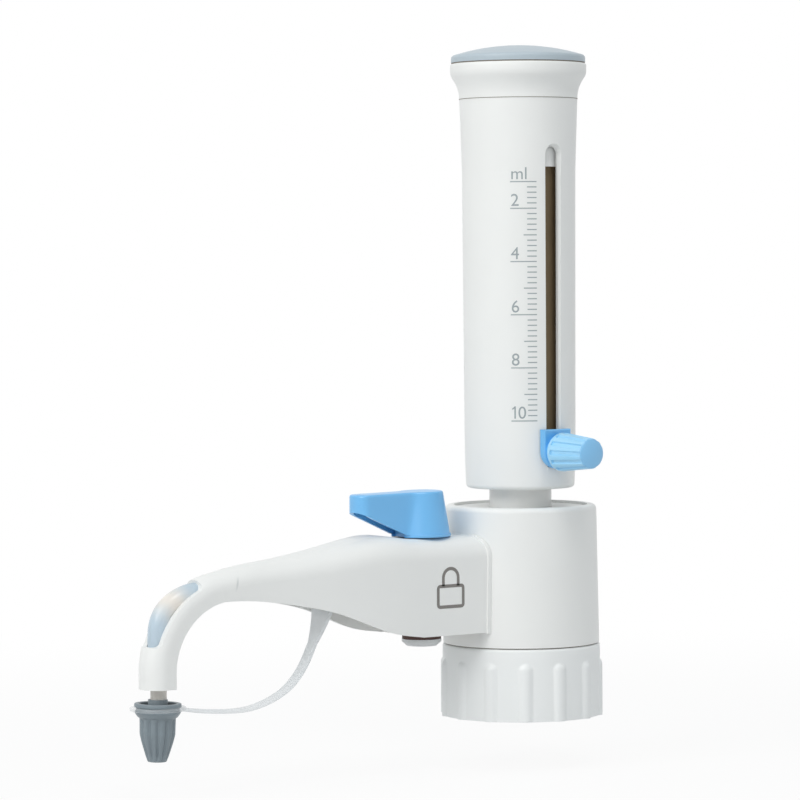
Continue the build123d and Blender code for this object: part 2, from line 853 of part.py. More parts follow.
arm_blank = arm_solid(0, 0)
with BuildPart() as arm_inside:
    with BuildSketch(level(tab_top)):
        with Locations((-screw_x, -screw_spread), (-screw_x, screw_spread)):
            Circle(arm_boss_radius)
            Circle(housing_screw_radius, mode=Mode.SUBTRACT)
    extrude(amount=lever_slope_z - tab_top)
    with BuildSketch(facing_arm(rib_start)):
        with Locations((0, (arm_rib_foot + arm_rib_top) / 2)):
            Rectangle(2 * arm_rib_half, arm_rib_top - arm_rib_foot)
        with Locations((0, channel_height)):
            Circle(tube_radius + slide_gap, mode=Mode.SUBTRACT)
        with Locations((-strap_pin_spread, strap_pin_height), (strap_pin_spread, strap_pin_height)):
            Circle(strap_pin_radius, mode=Mode.SUBTRACT)
    extrude(amount=rib_end - rib_start)
    add(arm_blank, mode=Mode.INTERSECT)

with BuildPart() as tube_window:
    with BuildSketch(arm_side) as window_face:
        with BuildLine():
            low_start = bend_point(window_radius, window_start)
            low_end = bend_point(window_radius, window_end)
            low_middle = bend_point(window_radius, (window_start + window_end) / 2)
            ThreePointArc(low_start, low_middle, low_end)
            high_end = bend_point(window_reach, window_end)
            high_start = bend_point(window_reach, window_start)
            high_middle = bend_point(window_reach, (window_start + window_end) / 2)
            Line(low_end, high_end)
            ThreePointArc(high_end, high_middle, high_start)
            Line(high_start, low_start)
        make_face()
        for start in (low_start, low_end):
            fillet(window_face.vertices().sort_by_distance(start)[0], window_corner)
    extrude(amount=2 * spout_half, both=True)

with BuildPart() as arm_housing:
    add(arm_blank)
    add(arm_lip.part)
    add(arm_solid(arm_wall, arm_open), mode=Mode.SUBTRACT)
    add(arm_inside.part)
    add(turned(cover_cone(fit_gap, 2 * cover_top)), mode=Mode.SUBTRACT)
    with BuildSketch(level(outlet_top)):
        with Locations((-valve_x, 0)):
            Circle(neck_step_radius + slide_gap)
    extrude(amount=first_top[1] - outlet_top + 2 * lip_height, mode=Mode.SUBTRACT)
    add(tube_window.part, mode=Mode.SUBTRACT)
arm_housing.part.label = "arm_housing"
export_step(arm_housing.part, "parts/arm_housing.step")

# Discharge block: outlet channel, seat for the valve plug and tab for the arm's screws
with BuildPart() as discharge_block:
    with BuildSketch(facing_arm(outlet_face)):
        with Locations((0, (outlet_top + outlet_foot) / 2)):
            Rectangle(2 * outlet_half, outlet_top - outlet_foot)
    extrude(amount=outlet_end - outlet_face)
    with BuildSketch(facing_arm(outlet_end)):
        with Locations((0, tab_top - tab_height / 2)):
            Rectangle(2 * tab_half, tab_height)
    extrude(amount=tab_end - outlet_end)
    with BuildSketch(level(outlet_foot)):
        with Locations((-valve_x, 0)):
            Circle(plug_radius + run_gap)
    extrude(amount=outlet_top - outlet_foot, mode=Mode.SUBTRACT)
    with BuildSketch(level(tab_top - tab_height)):
        with Locations((-screw_x, -screw_spread), (-screw_x, screw_spread)):
            Circle(housing_screw_radius + fit_gap)
    extrude(amount=tab_height, mode=Mode.SUBTRACT)
    for radius, start, end in (
        (outlet_bore, outlet_face, spring_end),
        (channel_radius, spring_end, tube_socket),
        (tube_radius, tube_socket, outlet_end),
    ):
        with BuildSketch(facing_arm(start)):
            with Locations((0, channel_height)):
                Circle(radius)
        extrude(amount=end - start, mode=Mode.SUBTRACT)
    with BuildSketch(facing_arm(outlet_face)):
        with Locations((0, channel_height)):
            Circle(face_seal_radius)
            Circle(face_seal_radius - face_seal_width, mode=Mode.SUBTRACT)
    extrude(amount=face_seal_depth, mode=Mode.SUBTRACT)
discharge_block.part.label = "discharge_block"
export_step(discharge_block.part, "parts/discharge_block.step")

with BuildPart() as outlet_seal:
    with BuildSketch(facing_arm(outlet_face)):
        with Locations((0, channel_height)):
            Circle(face_seal_radius)
            Circle(face_seal_radius - face_seal_width, mode=Mode.SUBTRACT)
    extrude(amount=face_seal_depth)
outlet_seal.part.label = "outlet_seal"
export_step(outlet_seal.part, "parts/outlet_seal.step")

# Discharge valve: conical seat, ball and the spring that holds the ball on it
outlet_apex = outlet_seat_x - seat_mouth
outlet_ball_x = outlet_apex + (outlet_ball_radius + ring_gap) * sqrt(2)
with BuildPart() as discharge_seat:
    with BuildSketch(arm_side):
        with BuildLine():
            Polyline(
                (outlet_face, channel_height + seat_bore),
                (outlet_apex + seat_bore, channel_height + seat_bore),
                (outlet_seat_x, channel_height + seat_mouth),
                (outlet_seat_x, channel_height + outlet_bore),
                (outlet_face, channel_height + outlet_bore),
                close=True,
            )
        make_face()
    revolve(axis=Axis((0, 0, channel_height), (-1, 0, 0)))
discharge_seat.part.label = "discharge_seat"
export_step(discharge_seat.part, "parts/discharge_seat.step")

with BuildPart() as discharge_ball:
    with Locations((-outlet_ball_x, 0, channel_height)):
        Sphere(outlet_ball_radius)
discharge_ball.part.label = "discharge_ball"
export_step(discharge_ball.part, "parts/discharge_ball.step")

coil_reach = outlet_ball_radius + spring_wire + ring_gap
coil_start = outlet_ball_x + sqrt(coil_reach**2 - spring_radius**2)
coil_length = spring_end - spring_wire - coil_start
with BuildPart() as discharge_spring:
    with BuildLine():
        coil = Helix(
            coil_length / spring_turns,
            coil_length,
            spring_radius,
            center=(-coil_start, 0, channel_height),
            direction=(-1, 0, 0),
        )
    with BuildSketch(Plane(origin=coil @ 0, z_dir=coil % 0)):
        Circle(spring_wire)
    sweep()
discharge_spring.part.label = "discharge_spring"
export_step(discharge_spring.part, "parts/discharge_spring.step")

# Discharge tube with its nut, its sheath at the bend and the bush that centres it in the spout
with BuildPart() as discharge_tube:
    with BuildLine(arm_side):
        FilletPolyline(*tube_points, radius=tube_bends)
    with BuildSketch(facing_arm(tube_socket)):
        with Locations((0, channel_height)):
            Circle(tube_radius)
            Circle(tube_bore, mode=Mode.SUBTRACT)
    sweep()
discharge_tube.part.label = "discharge_tube"
export_step(discharge_tube.part, "parts/discharge_tube.step")

with BuildPart() as tube_sheath:
    with BuildLine(arm_side):
        FilletPolyline(*tube_points, radius=tube_bends)
    with BuildSketch(facing_arm(tube_socket)):
        with Locations((0, channel_height)):
            Circle(sheath_radius)
            Circle(tube_radius, mode=Mode.SUBTRACT)
    sweep()
    with BuildSketch(level(sheath_end)):
        with Locations((-sheath_start, 0)):
            Rectangle(bend_outer * 2, bend_outer * 2, align=(Align.MAX, Align.CENTER))
    extrude(amount=bend_outer * 2, mode=Mode.INTERSECT)
tube_sheath.part.label = "tube_sheath"
export_step(tube_sheath.part, "parts/tube_sheath.step")

with BuildPart() as tube_nut:
    with BuildSketch(facing_arm(outlet_end)):
        with Locations((0, channel_height)):
            RegularPolygon(tube_nut_radius, 6)
            Circle(tube_radius, mode=Mode.SUBTRACT)
    extrude(amount=tube_nut_length)
tube_nut.part.label = "tube_nut"
export_step(tube_nut.part, "parts/tube_nut.step")

with BuildPart() as spout_bush:
    bush_level = bush_foot + bush_height
    bush_back = (bend_x + bend_inner, bush_level)
    bush_front = (bend_x + bend_outer, bush_level)
    bush_face = arch(bush_back, bush_front, spout_half, spout_corner, arm_wall)
    extrude(bush_face, amount=bush_height)
    with BuildSketch(level(bush_foot)):
        with Locations((-nozzle_x, 0)):
            Circle(tube_radius)
    extrude(amount=bush_height, mode=Mode.SUBTRACT)
spout_bush.part.label = "spout_bush"
export_step(spout_bush.part, "parts/spout_bush.step")

# Screws that hold the arm housing on the tab
with BuildPart() as housing_screw_front:
    with BuildSketch(level(tab_top - tab_height - screw_head_height)):
        with Locations((-screw_x, -screw_spread)):
            Circle(screw_head_radius)
    extrude(amount=screw_head_height)
    with BuildSketch(level(tab_top - tab_height)):
        with Locations((-screw_x, -screw_spread)):
            Circle(housing_screw_radius)
    extrude(amount=tab_height + housing_screw_bite)
housing_screw_front.part.label = "housing_screw_front"
export_step(housing_screw_front.part, "parts/housing_screw_front.step")

with BuildPart() as housing_screw_back:
    add(mirror(housing_screw_front.part, about=Plane.XZ, mode=Mode.PRIVATE))
housing_screw_back.part.label = "housing_screw_back"
export_step(housing_screw_back.part, "parts/housing_screw_back.step")

# Recirculation valve: plug in the discharge block, its seal ring and retainer below the block
tail_foot = outlet_foot - run_gap - band_height - tail_depth
band_foot = outlet_foot - run_gap - band_height
skirt_top = skirt_foot + skirt_height
with BuildPart() as valve_plug:
    plug_outline = [
        (0, tail_foot),
        (tail_radius, tail_foot),
        (tail_radius, outlet_foot),
        (plug_radius, outlet_foot),
        (plug_radius, outlet_top + slide_gap),
        (neck_step_radius, outlet_top + slide_gap),
        (neck_step_radius, skirt_top),
        (0, skirt_top),
    ]
    with Locations((-valve_x, 0, 0)):
        add(turned(plug_outline))
    with BuildSketch(level(skirt_top)):
        with Locations((-valve_x, 0)):
            Rectangle(drive_side, drive_side)
    extrude(amount=drive_height)
    with BuildSketch(facing_arm(valve_x - plug_radius)):
        with Locations((0, channel_height)):
            Circle(tube_bore)
    extrude(amount=2 * plug_radius, mode=Mode.SUBTRACT)
valve_plug.part.label = "valve_plug"
export_step(valve_plug.part, "parts/valve_plug.step")

with BuildPart() as valve_seal_ring:
    with BuildSketch(level(band_foot)):
        with Locations((-valve_x, 0)):
            Circle(band_radius)
            Circle(tail_radius, mode=Mode.SUBTRACT)
    extrude(amount=band_height)
valve_seal_ring.part.label = "valve_seal_ring"
export_step(valve_seal_ring.part, "parts/valve_seal_ring.step")

with BuildPart() as valve_retainer:
    retainer_outline = [
        (0, band_foot - retainer_height),
        (retainer_foot_radius, band_foot - retainer_height),
        (retainer_radius, band_foot - retainer_height + retainer_bevel),
        (retainer_radius, band_foot),
        (tail_radius, band_foot),
        (tail_radius, tail_foot),
        (0, tail_foot),
    ]
    with Locations((-valve_x, 0, 0)):
        add(turned(retainer_outline))
valve_retainer.part.label = "valve_retainer"
export_step(valve_retainer.part, "parts/valve_retainer.step")

# Valve lever: hollow hub on a skirt, with a hollow handle whose underside slopes up to its tip
roof_foot = lever_top - lever_roof
handle_middle = (valve_x + lever_end) / 2
with BuildPart() as purge_lever:
    with BuildSketch(level(skirt_top)):
        with Locations((-handle_middle, 0)):
            RectangleRounded(lever_end - valve_x, 2 * lever_half, lever_corner)
    extrude(amount=lever_top - skirt_top)
    with BuildSketch(arm_side):
        with BuildLine():
            slope_end = lever_end + lever_half
            Polyline(
                (valve_x, lever_slope_z + lever_slope_rise * (valve_x - lever_slope_x)),
                (slope_end, lever_slope_z + lever_slope_rise * (slope_end - lever_slope_x)),
                (slope_end, outlet_top),
                (valve_x, outlet_top - lever_slope_z),
                close=True,
            )
        make_face()
    extrude(amount=2 * lever_half, both=True, mode=Mode.SUBTRACT)
    with Locations((-valve_x, 0, 0)):
        hub_outline = [
            (0, skirt_top),
            (hub_radius_low, skirt_top),
            (hub_radius_top, lever_top),
            (0, lever_top),
        ]
        add(turned(hub_outline))
        add(turned(ring(skirt_radius, 0, skirt_foot, skirt_top)))
    fillet(purge_lever.edges().group_by(Axis.Z)[-1], lever_edge)
    with BuildSketch(level(skirt_foot)):
        with Locations((-handle_middle, 0)):
            Rectangle(lever_end - valve_x - 2 * lever_wall, 2 * (lever_half - lever_wall))
    extrude(amount=roof_foot - skirt_foot, mode=Mode.SUBTRACT)
    with Locations((-valve_x, 0, 0)):
        hub_inside = [
            (0, skirt_foot),
            (hub_radius_low - lever_wall, skirt_foot),
            (hub_radius_top - lever_wall, roof_foot),
            (0, roof_foot),
        ]
        add(turned(hub_inside), mode=Mode.SUBTRACT)
    with BuildSketch(level(skirt_top)):
        with Locations((-valve_x, 0)):
            Circle(hub_core)
    extrude(amount=roof_foot - skirt_top)
    with BuildSketch(level(skirt_top)):
        with Locations((-valve_x, 0)):
            Rectangle(drive_side, drive_side)
    extrude(amount=drive_height, mode=Mode.SUBTRACT)
purge_lever.part.label = "purge_lever"
export_step(purge_lever.part, "parts/purge_lever.step")

# Nozzle cap: fluted grip, grooved flange for the strap and a bush over the tube's end
with BuildPart() as grip_flutes:
    grip_axis = [(0, grip_profile[-1][1]), (0, grip_profile[0][1])]
    outside = [(radius + grip_flute_depth, height) for radius, height in grip_profile]
    inside = [(radius - grip_flute_depth, height) for radius, height in grip_profile]
    add(turned(outside + grip_axis))
    add(turned(inside + grip_axis), mode=Mode.SUBTRACT)
    with BuildSketch(level(grip_profile[-1][1])):
        with PolarLocations(0, grip_count):
            Rectangle(2 * grip_profile[0][0], grip_flute_width, align=(Align.MIN, Align.CENTER))
    extrude(amount=grip_profile[0][1] - grip_profile[-1][1] - grip_flute_depth, mode=Mode.INTERSECT)

with BuildPart() as nozzle_cap:
    cap_bore = tube_radius + run_gap
    cap_outline = [
        (low_flange_root, grip_profile[0][1]),
        (low_flange_radius, low_flange_edge),
        (low_flange_radius, groove_foot),
        (cap_groove_radius, groove_foot),
        (cap_groove_radius, flange_foot),
        (cap_rim_radius, flange_foot),
        (cap_rim_radius, cap_cup_top),
        (cup_radius, cap_cup_top),
        (cup_radius, cup_foot),
        (cap_bush_radius, cup_foot),
        (cap_bush_radius, cap_bush_top),
        (cap_bore, cap_bush_top),
        (cap_bore, tube_end - tube_rest),
        (0, tube_end - tube_rest),
        (0, grip_profile[-1][1]),
    ]
    with Locations((-nozzle_x, 0, 0)):
        add(turned(cap_outline + grip_profile[::-1]))
        add(grip_flutes.part, mode=Mode.SUBTRACT)
nozzle_cap.part.label = "nozzle_cap"
export_step(nozzle_cap.part, "parts/nozzle_cap.step")

# Strap: ring in the cap's groove and a band that flares to the tab pinned inside the arm
strap_top_x = rib_start - strap_thickness / 2
strap_curve = Spline(*strap_line, (strap_top_x, arm_rib_foot), tangents=[strap_start_lean, (0, 1)])
strap_near = []
strap_far = []
for step in range(strap_steps + 1):
    middle = strap_curve @ (step / strap_steps)
    along = strap_curve % (step / strap_steps)
    shift = Vector(along.Y, -along.X) * (strap_thickness / 2)
    strap_near.append(middle + shift)
    strap_far.append(middle - shift)
with BuildPart() as cap_strap:
    with BuildSketch(arm_side):
        with BuildLine():
            near_edge = Spline(*strap_near)
            far_edge = Spline(*strap_far)
            Line(near_edge @ 0, far_edge @ 0)
            Polyline(
                near_edge @ 1,
                ((near_edge @ 1).X, strap_top),
                ((far_edge @ 1).X, strap_top),
                far_edge @ 1,
            )
        make_face()
    extrude(amount=strap_tab_half, both=True)
    with BuildSketch(facing_arm(0)) as strap_front:
        with BuildLine():
            Polyline(
                (strap_half, 0),
                (strap_half, strap_flare_foot),
                (strap_tab_half, strap_flare_top),
                (strap_tab_half, strap_top),
                (-strap_tab_half, strap_top),
                (-strap_tab_half, strap_flare_top),
                (-strap_half, strap_flare_foot),
                (-strap_half, 0),
                close=True,
            )
        make_face()
        fillet(strap_front.vertices().group_by(Axis.Y)[-1], strap_corner)
    extrude(amount=nozzle_x, mode=Mode.INTERSECT)
    with BuildSketch(level(groove_foot)):
        with Locations((-nozzle_x, 0)):
            Circle(strap_ring_radius)
            Circle(cap_groove_radius, mode=Mode.SUBTRACT)
    extrude(amount=flange_foot - groove_foot)
    with BuildSketch(facing_arm(0)):
        with Locations((-strap_pin_spread, strap_pin_height), (strap_pin_spread, strap_pin_height)):
            Circle(strap_pin_radius)
    extrude(amount=nozzle_x, mode=Mode.SUBTRACT)
cap_strap.part.label = "cap_strap"
export_step(cap_strap.part, "parts/cap_strap.step")

strap_inner = rib_start - strap_thickness
with BuildPart() as strap_pin_front:
    with BuildSketch(facing_arm(strap_inner - strap_pin_cap)):
        with Locations((strap_pin_spread, strap_pin_height)):
            Circle(strap_pin_head)
    extrude(amount=strap_pin_cap)
    with BuildSketch(facing_arm(strap_inner)):
        with Locations((strap_pin_spread, strap_pin_height)):
            Circle(strap_pin_radius)
    extrude(amount=rib_end - strap_inner)
strap_pin_front.part.label = "strap_pin_front"
export_step(strap_pin_front.part, "parts/strap_pin_front.step")

with BuildPart() as strap_pin_back:
    add(mirror(strap_pin_front.part, about=Plane.XZ, mode=Mode.PRIVATE))
strap_pin_back.part.label = "strap_pin_back"
export_step(strap_pin_back.part, "parts/strap_pin_back.step")
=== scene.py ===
from math import atan2, cos, hypot, pi, radians, sin, sqrt

import bmesh
import bpy
from mathutils import Matrix, Vector


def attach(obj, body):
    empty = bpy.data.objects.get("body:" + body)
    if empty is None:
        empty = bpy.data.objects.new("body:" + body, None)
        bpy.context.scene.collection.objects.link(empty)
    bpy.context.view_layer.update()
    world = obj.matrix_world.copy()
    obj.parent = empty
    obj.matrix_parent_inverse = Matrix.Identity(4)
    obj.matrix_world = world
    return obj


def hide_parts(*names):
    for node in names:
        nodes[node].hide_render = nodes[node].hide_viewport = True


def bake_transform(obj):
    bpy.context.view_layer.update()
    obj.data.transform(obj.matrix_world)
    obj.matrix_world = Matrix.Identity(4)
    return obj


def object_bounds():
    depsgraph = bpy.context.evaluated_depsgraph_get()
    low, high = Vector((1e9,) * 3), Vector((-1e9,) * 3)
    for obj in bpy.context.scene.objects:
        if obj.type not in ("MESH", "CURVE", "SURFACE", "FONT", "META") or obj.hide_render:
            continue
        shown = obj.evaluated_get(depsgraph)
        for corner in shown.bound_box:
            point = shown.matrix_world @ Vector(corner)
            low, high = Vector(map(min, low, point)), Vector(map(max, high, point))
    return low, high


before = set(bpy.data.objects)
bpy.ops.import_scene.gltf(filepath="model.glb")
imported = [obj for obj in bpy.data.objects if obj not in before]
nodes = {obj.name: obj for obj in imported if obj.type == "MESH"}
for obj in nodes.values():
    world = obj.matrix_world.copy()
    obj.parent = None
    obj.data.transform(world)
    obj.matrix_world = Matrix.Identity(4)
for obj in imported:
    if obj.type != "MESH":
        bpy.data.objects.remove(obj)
cad_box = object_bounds()
mm = 0.001

# Covers, sleeve and arm
# Moulded in one white engineering plastic with a fine satin skin. Handling has left the gloss a
# little uneven, and the arm's bend keeps a faint mark where the melt met in the mould.


class Value:
    """A number or colour inside a material. Sums on it add Math nodes."""

    def __init__(self, finish, socket):
        self.finish, self.socket = finish, socket

    def worked(self, operation, *others):
        sockets = dict(enumerate((self,) + others))
        return self.finish.node("ShaderNodeMath", {"operation": operation}, sockets)

    def __add__(self, other):
        return self.worked("ADD", other)

    def __sub__(self, other):
        return self.worked("SUBTRACT", other)

    def __rsub__(self, other):
        return self.worked("MULTIPLY", -1.0) + other

    def __mul__(self, other):
        return self.worked("MULTIPLY", other)

    __radd__, __rmul__ = __add__, __mul__

    def over(self, low, high):
        """From 0 at low to 1 at high, eased at both ends."""
        span = {"Value": self, "From Min": low, "From Max": high}
        return self.finish.node("ShaderNodeMapRange", {"interpolation_type": "SMOOTHSTEP"}, span)

    def about(self, middle, reach):
        """1 at the middle, falling to 0 at a distance."""
        return 1 - (self - middle).worked("ABSOLUTE").over(0, reach)


class Finish:
    """A material or a world, written node by node. Its patterns follow the piece's own coordinates."""

    def __init__(self, name, world=False):
        self.owner = (bpy.data.worlds if world else bpy.data.materials).new(name)
        self.owner.use_nodes = True
        self.tree = self.owner.node_tree
        self.tree.nodes.clear()
        self.place = self.node("ShaderNodeTexCoord", out="Object")

    def node(self, kind, settings=None, sockets=None, out=0):
        fresh = self.tree.nodes.new(kind)
        for name, value in (settings or {}).items():
            setattr(fresh, name, value)
        for name, value in (sockets or {}).items():
            if isinstance(value, Value):
                self.tree.links.new(value.socket, fresh.inputs[name])
            else:
                fresh.inputs[name].default_value = value
        return Value(self, fresh.outputs[out])

    def axes(self):
        split = self.node("ShaderNodeSeparateXYZ", {}, {0: self.place})
        return [Value(self, socket) for socket in split.socket.node.outputs]

    def noise(self, size, detail=2.0, stretch=None):
        place = self.place
        if stretch:
            place = self.node("ShaderNodeVectorMath", {"operation": "MULTIPLY"}, {0: place, 1: stretch})
        return self.node("ShaderNodeTexNoise", {}, {"Vector": place, "Scale": 1 / size, "Detail": detail})

    def mixed(self, share, first, second):
        """A colour between two."""
        return self.node("ShaderNodeMix", {"data_type": "RGBA"}, {0: share, 6: first, 7: second}, out=2)

    def layered(self, share, first, second):
        """A surface between two."""
        return self.node("ShaderNodeMixShader", {}, {0: share, 1: first, 2: second})

    def bumped(self, height, depth):
        return self.node("ShaderNodeBump", {}, {"Strength": 0.5, "Distance": depth, "Height": height})

    def principled(self, **sockets):
        named = {name.replace("_", " "): value for name, value in sockets.items()}
        return self.node("ShaderNodeBsdfPrincipled", {}, named)

    def translucent(self, colour):
        """The light that comes through from behind."""
        return self.node("ShaderNodeBsdfTranslucent", {}, {"Color": colour})

    def done(self, surface, output="ShaderNodeOutputMaterial"):
        last = self.tree.nodes.new(output)
        self.tree.links.new(surface.socket, last.inputs["Surface"])
        return self.owner


def tint(colour, factor=1.0):
    return tuple(channel * factor for channel in colour) + (1.0,)


def moulded(finish, colour, roughness, depth=0.008 * mm, **constants):
    """Moulded plastic: an even colour, a fine skin, and a gloss that handling has made uneven."""
    cloud_size, grain, gloss_spread, colour_spread = 18 * mm, 0.22 * mm, 0.10, 0.015
    cloud = finish.noise(cloud_size, 3.0)
    gloss = cloud * gloss_spread + (roughness - gloss_spread / 2)
    if not isinstance(colour, Value):
        colour = finish.mixed(cloud, tint(colour, 1 - colour_spread), tint(colour, 1 + colour_spread))
    skin = finish.bumped(finish.noise(grain, 1.0), depth)
    return finish.principled(Base_Color=colour, Roughness=gloss, Normal=skin, **constants)


def dress(material, *names):
    for name in names:
        materials = nodes[name].data.materials
        materials.clear()
        materials.append(material)


white = (0.86, 0.865, 0.85)
finish = Finish("white_plastic")
white_plastic = finish.done(moulded(finish, white, 0.42))
dress(white_plastic, "body_cover", "outer_sleeve", "stop_collar")

finish = Finish("arm_plastic")
mark_line, mark_lean, mark_y, mark_z = -132.1 * mm, 0.27, -5.5 * mm, 50.6 * mm
mark_grey, mark_share = (0.45, 0.48, 0.48), 0.7
x, y, z = finish.axes()
mark = (x - z * mark_lean).about(mark_line, 0.6 * mm) * z.about(mark_z, 2.8 * mm)
mark = mark * y.about(mark_y, 2.0 * mm)
cloud = finish.noise(18 * mm, 3.0)
arm_white = finish.mixed(cloud, tint(white, 0.985), tint(white, 1.015))
arm_white = finish.mixed(mark * mark_share, arm_white, tint(mark_grey))
dress(finish.done(moulded(finish, arm_white, 0.42)), "arm_housing")

# Bottle nut
# Moulded in a slightly cooler white. Fourteen rounded ribs grip the hand, the top edge is
# eased, and a coarse thread inside runs down onto the bottle's neck.


def eased(outline, reach, steps=4):
    """The closed outline with each corner rounded by up to a reach."""
    smooth = []
    for index, corner in enumerate(outline):
        corner = Vector(corner)
        before = Vector(outline[index - 1]) - corner
        after = Vector(outline[(index + 1) % len(outline)]) - corner
        cut = min(reach, before.length / 3, after.length / 3)
        start, end = corner + before.normalized() * cut, corner + after.normalized() * cut
        for step in range(steps + 1):
            t = step / steps
            smooth.append(start * (1 - t) ** 2 + corner * 2 * t * (1 - t) + end * t**2)
    return smooth


def spun(outline, steps, closed=True):
    """A surface turned about Z from an outline of (radius, height) points."""
    bm = bmesh.new()
    verts = [bm.verts.new((radius, 0, height)) for radius, height in outline]
    edges = [bm.edges.new(pair) for pair in zip(verts, verts[1:])]
    if closed:
        edges.append(bm.edges.new((verts[-1], verts[0])))
    bmesh.ops.spin(bm, geom=verts + edges, axis=(0, 0, 1), angle=2 * pi, steps=steps, use_merge=True)
    bmesh.ops.remove_doubles(bm, verts=bm.verts, dist=0.001 * mm)
    return bm


def sliced(bm, points, normal):
    """Extra rows of points where planes cut the surface."""
    for point in points:
        everything = bm.verts[:] + bm.edges[:] + bm.faces[:]
        bmesh.ops.bisect_plane(bm, geom=everything, plane_co=point, plane_no=normal)


def made(name, bm, material, body, *replaced, crease=35):
    """The finished piece, smooth up to its creases, riding on its body."""
    bmesh.ops.recalc_face_normals(bm, faces=bm.faces)
    mesh = bpy.data.meshes.new(name)
    bm.to_mesh(mesh)
    bm.free()
    mesh.shade_smooth()
    mesh.set_sharp_from_angle(angle=radians(crease))
    mesh.materials.append(material)
    piece = bpy.data.objects.new(name, mesh)
    bpy.context.scene.collection.objects.link(piece)
    if body:
        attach(piece, body)
    if replaced:
        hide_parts(*replaced)
    return piece


def joined(first, second, softness):
    """The larger of two radii, run together softly."""
    return (first + second + sqrt((first - second) ** 2 + softness**2)) / 2


nut_high, nut_top, nut_foot, top_round = 24.2 * mm, 26.6 * mm, 26.9 * mm, 1.0 * mm
nut_hole, web_low, bore, bore_high = 14.2 * mm, 20.8 * mm, 21.1 * mm, 16.0 * mm
mouth, mouth_high = 23.4 * mm, 0.8 * mm
thread_radius, thread_top, thread_pitch, thread_depth = 22.75 * mm, 15.6 * mm, 4.0 * mm, 0.9 * mm
thread_low, thread_run, thread_band = 1.0 * mm, 1.5 * mm, 0.15 * mm
rib_count, rib_turn, rib_softness = 14, radians(235.6), 0.1 * mm
rib_centre, rib_round, rib_rise = 24.7 * mm, 3.0 * mm, 17.0 * mm
grip_inner, grip_top = 25.5 * mm, 22 * mm

# The rim's and the skirt's first points give way to the rounder top edge and the thread's bore.
rim = eased([(nut_top, nut_high), (nut_hole, nut_high), (nut_hole, web_low), (bore, web_low)], 0.3 * mm)
skirt = [(bore, bore_high), (thread_radius, bore_high), (thread_radius, mouth_high)]
skirt += [(mouth, 0), (nut_foot, 0)]
top_edge = []
for a in (0, 0.3, 0.6, 0.9, 1.2, pi / 2):
    top_edge.append((nut_top - top_round * (1 - cos(a)), nut_high - top_round * (1 - sin(a))))
bm = spun(rim[5:] + eased(skirt, 0.25 * mm)[2:] + top_edge, 420)
sliced(bm, [(0, 0, (0.6 + 0.4 * row) * mm) for row in range(50)], (0, 0, 1))
for vert in bm.verts:
    radius, height = hypot(vert.co.x, vert.co.y), vert.co.z
    angle = atan2(vert.co.y, vert.co.x)
    wanted = radius
    if radius > grip_inner and height < grip_top:
        step = 2 * pi / rib_count
        turn = (angle - rib_turn + step / 2) % step - step / 2
        reach = rib_round**2 - max(0, height - rib_rise) ** 2
        side = rib_centre * sin(turn)
        if reach > side**2:
            wanted = joined(radius, rib_centre * cos(turn) + sqrt(reach - side**2), rib_softness)
    elif abs(radius - thread_radius) < thread_band and height < thread_top:
        wave = cos(2 * pi * (height / thread_pitch) - angle)
        ends = min(1, max(0, height - thread_low) / thread_run, max(0, thread_top - height) / thread_run)
        wanted = radius - thread_depth * max(0, wave) ** 0.7 * ends
    vert.co.xy *= wanted / radius
finish = Finish("nut_plastic")
nut_plastic = finish.done(moulded(finish, (0.87, 0.885, 0.88), 0.44))
nut = made("bottle_nut", bm, nut_plastic, "nut", "thread_nut")

# Valve block and other inner plastic
# The wetted core is machined from a natural, faintly yellow fluoroplastic with fine turning
# marks. It shows from below, inside the arm.
finish = Finish("block_plastic")
turning = finish.noise(0.35 * mm, 1.0, (0.15, 0.15, 1.0))
block_white = finish.mixed(finish.noise(9 * mm, 3.0), (0.70, 0.69, 0.655, 1), (0.76, 0.75, 0.715, 1))
marks = finish.bumped(turning, 0.01 * mm)
surface = finish.principled(Base_Color=block_white, Roughness=turning * 0.15 + 0.38, Normal=marks)
machined = ["valve_block", "discharge_block", "retaining_ring", "filling_valve_body", "filling_cage"]
dress(finish.done(surface), *machined)

finish = Finish("piston_plastic")
piston_white = finish.mixed(finish.noise(6 * mm, 3.0), (0.86, 0.86, 0.84, 1), (0.90, 0.90, 0.885, 1))
piston_plastic = finish.done(moulded(finish, piston_white, 0.34, Coat_Weight=0.15))
dress(piston_plastic, "cylinder_neck", "piston_rod", "piston_head", "slider_stop")
dress(piston_plastic, "tube_nut", "spout_bush", "discharge_seat")

# Glass cylinder and its balls
# The measuring cylinder is drawn borosilicate glass, the valve balls are ground ceramic.
# Both hide inside and show only through the slot and from below.
finish = Finish("cylinder_glass")
smear = finish.noise(14 * mm, 3.0)
glass_tint = (0.93, 0.96, 0.965, 1)
clear = {"IOR": 1.47, "Transmission_Weight": 1.0}
surface = finish.principled(Base_Color=glass_tint, Roughness=smear * 0.05 + 0.01, **clear)
dress(finish.done(surface), "glass_cylinder")

finish = Finish("ball_ceramic")
ceramic = finish.mixed(finish.noise(1.5 * mm), (0.84, 0.84, 0.82, 1), (0.9, 0.9, 0.885, 1))
surface = finish.principled(Base_Color=ceramic, Roughness=finish.noise(0.8 * mm) * 0.08 + 0.1)
dress(finish.done(surface), "filling_ball", "discharge_ball")

